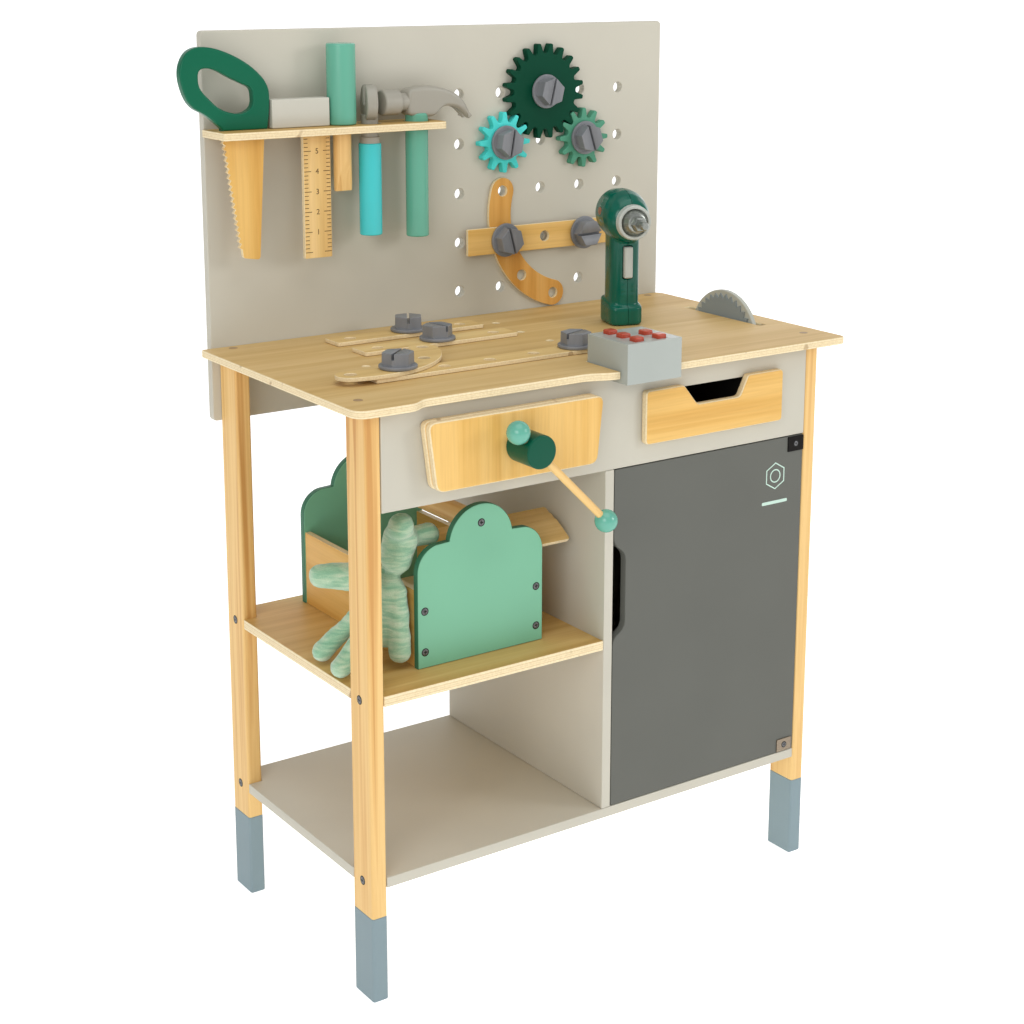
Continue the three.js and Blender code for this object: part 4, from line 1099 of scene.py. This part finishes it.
def make_toolbox():
    x, y, z = span("toolbox_end_front")
    for node, sign in (("toolbox_end_front", -1), ("toolbox_end_rear", 1)):
        y = span(node)[1]
        end = flat(toolbox_ring(x, z), [], "Y", y[0], y[1] - y[0], 1.2)
        # the darker green on the box ends' edges is painted shade
        green = edged_paint("toolbox", (122, 184, 152), (58, 118, 92), "Y", 0.45)
        piece(f"{node}_board", end, green, "toolbox", node)
        face = y[0] if sign < 0 else y[1]
        middle = (x[0] + x[1]) / 2
        spots = [(middle, 452), (x[0] + 8, 373), (x[0] + 8, 331), (x[1] - 8, 373), (x[1] - 8, 331)]
        for i, (at_x, at_z) in enumerate(spots):
            screw(f"{node}_screw_{i + 1}", (at_x, face, at_z), "Y", "toolbox", 3.2, sign)
    x, y, z = span("toolbox_tray")
    wall = 7
    ply = board_ply("toolbox_tray", "X", "Y", "honey")
    sides = [slab(across, y, z, 0.8) for across in ((x[0], x[0] + wall), (x[1] - wall, x[1]))]
    floor = slab((x[0] + wall + 0.1, x[1] - wall - 0.1), y, (z[0], z[0] + 5), 0.5)
    piece("toolbox_sides", merged(*sides, floor), ply, "toolbox", "toolbox_tray")
    x, y, z = span("toolbox_handle")
    dowel = rod((x[1] - x[0]) / 2, "Y", ((x[0] + x[1]) / 2, 0, (z[0] + z[1]) / 2), *y, 0.5, 40)
    piece("toolbox_dowel", dowel, pine("Y"), "toolbox", "toolbox_handle")
    make_planks()


def make_planks():
    """Three loose planks in a fan, each further up than the one on it."""
    lean = Matrix.Translation(PLANK_PLACE) @ Matrix.Rotation(math.radians(PLANK_TILT), 4, "X")
    length, width = PLANK_SIZE
    ply = plywood("Z", 0.0, STRIP_T, "X", "cream")
    for i in range(3):
        right = -12 + 2 * i
        board = flat(rectangle((right - length, right), (0, width), 4), [], "Z", 0, STRIP_T - 0.1, 1.0)
        place = lean @ Matrix.Translation((0, PLANK_SHIFT * i, -STRIP_T * i))
        nodes = "plank_stack" if i == 0 else ()
        piece(f"plank_{i + 1}", board, ply, "toolbox", nodes, place=place)


# ---------------------------------------------------------------- soft rabbit
def limb(start, end, r0, r1, steps=8):
    """Tapered limb with round ends, as a chain of spheres."""
    balls = []
    for i in range(steps + 1):
        t = i / steps
        ball = bmesh.new()
        bmesh.ops.create_icosphere(ball, subdivisions=2, radius=r0 + (r1 - r0) * t)
        centre = Vector(start).lerp(Vector(end), t)
        move(ball, Matrix.Translation(centre))
        balls.append(ball)
    return balls


def make_rabbit():
    parts = [
        *limb((-221, 74, 348), (-219, 63, 396), 17, 15.5),
        *limb((-212, 62, 424), (-207, 62, 444), 16, 18),
        *limb((-208, 62, 448), (-216, 46, 462), 13, 13.5),
        *limb((-200, 66, 442), (-174, 64, 442), 10, 11.5),
        *limb((-228, 84, 402), (-270, 108, 405), 16, 12.5),
        *limb((-232, 86, 372), (-270, 107, 327), 9.5, 11),
        *limb((-234, 74, 356), (-275, 62, 326), 9.5, 11),
        *limb((-215.5, 55, 392), (-214.8, 52, 332), 11, 11.8),
    ]
    body = melted("rabbit_skin", parts, 2.2, 6)
    for vertex in body.verts:                                 # small folds and stuffing lumps
        lump = noise.noise(vertex.co * 0.06) * 1.3 + noise.noise(vertex.co * 0.25) * 0.35
        vertex.co += vertex.normal * lump
    rabbit = piece("rabbit_body", body, knit(), "plush_rabbit", "plush_rabbit", sharp=180)


# ---------------------------------------------------------------- stage, light and camera
def make_stage():
    """A white floor that curves up behind the bench, and soft lamps."""
    away = Matrix.Rotation(-math.radians(AZIMUTH), 4, "Z")
    flat_end, bend = 4.0, 1.5
    profile = [(-5.0, 0.0), (flat_end, 0.0)]
    profile += [(flat_end + bend * math.sin(a), bend - bend * math.cos(a))
                for a in [math.radians(step) for step in range(10, 91, 10)]]
    profile.append((flat_end + bend, 6.0))
    bm = bmesh.new()
    rows = [[bm.verts.new(away @ Vector((x, y, z))) for y, z in profile] for x in (-7, 7)]
    for i in range(len(profile) - 1):
        bm.faces.new((rows[0][i], rows[0][i + 1], rows[1][i + 1], rows[1][i]))
    bmesh.ops.recalc_face_normals(bm, faces=bm.faces)
    mesh = bpy.data.meshes.new("floor")
    bm.to_mesh(mesh)
    bm.free()
    mesh.shade_smooth()
    floor = linked("floor", mesh)
    shader = Shader("floor", 0.9, Specular_IOR_Level=0.0, Emission_Color=(1, 1, 1, 1), Emission_Strength=0.62)
    clouds = shader.noise(EVEN, 3, 2)
    tone = shader.ramp(clouds, [(0.3, (0.86, 0.86, 0.86, 1)), (0.7, (0.88, 0.88, 0.88, 1))])
    mesh.materials.append(shader.colour(tone))
    world = bpy.data.worlds.new("studio")
    world.use_nodes = True
    sky = world.node_tree.nodes["Background"]
    sky.inputs["Color"].default_value = WHITE
    sky.inputs["Strength"].default_value = 0.42
    bpy.context.scene.world = world
    bpy.context.scene.view_settings.view_transform = "Standard"
    lights = {
        # place, size across, watts
        "key": ((2.3, -2.5, 1.7), 1.0, 26),
        "fill": ((-2.4, -1.9, 1.6), 1.6, 30),
        "top": ((-0.2, -0.8, 3.2), 2.6, 30),
    }
    aim = Vector((0, 0, 0.5))
    for name, (place, size, power) in lights.items():
        data = bpy.data.lights.new(name, "AREA")
        data.size = size
        data.energy = power
        lamp = linked(name, data)
        lamp.location = place
        lamp.rotation_euler = (aim - Vector(place)).to_track_quat("-Z", "Y").to_euler()


AZIMUTH = 35.3824
ELEVATION = 12.4701
ROLL = 0.2873


def make_camera():
    azimuth, elevation, roll = (math.radians(a) for a in (AZIMUTH, ELEVATION, ROLL))
    target = Vector((0.03242, -0.0094, 0.48))
    back = Vector((-math.sin(azimuth) * math.cos(elevation), -math.cos(azimuth) * math.cos(elevation),
                   math.sin(elevation)))
    level = Vector((math.cos(azimuth), -math.sin(azimuth), 0))
    above = back.cross(level)
    right = math.cos(roll) * level + math.sin(roll) * above
    up = -math.sin(roll) * level + math.cos(roll) * above
    data = bpy.data.cameras.new("camera")
    data.lens = 65.33
    data.sensor_width = 36
    data.shift_x = -0.0341
    data.shift_y = -0.1456
    camera = linked("camera", data)
    place = target - right * 0.009388 + up * 0.0972 + back * 1.97036
    camera.matrix_world = Matrix.Translation(place) @ Matrix((right, up, back)).transposed().to_4x4()
    bpy.context.scene.camera = camera


for make in (make_camera, make_stage, make_legs, make_panels, make_worktop, make_peg_board,
             make_tool_rack, make_door, make_drawer, make_vise, make_control_box, make_circular_saw,
             make_hand_saw, make_set_square, make_screwdriver, make_wrench, make_hammer, make_strips,
             make_gears, make_bolts, make_drill, make_toolbox, make_rabbit):
    make()
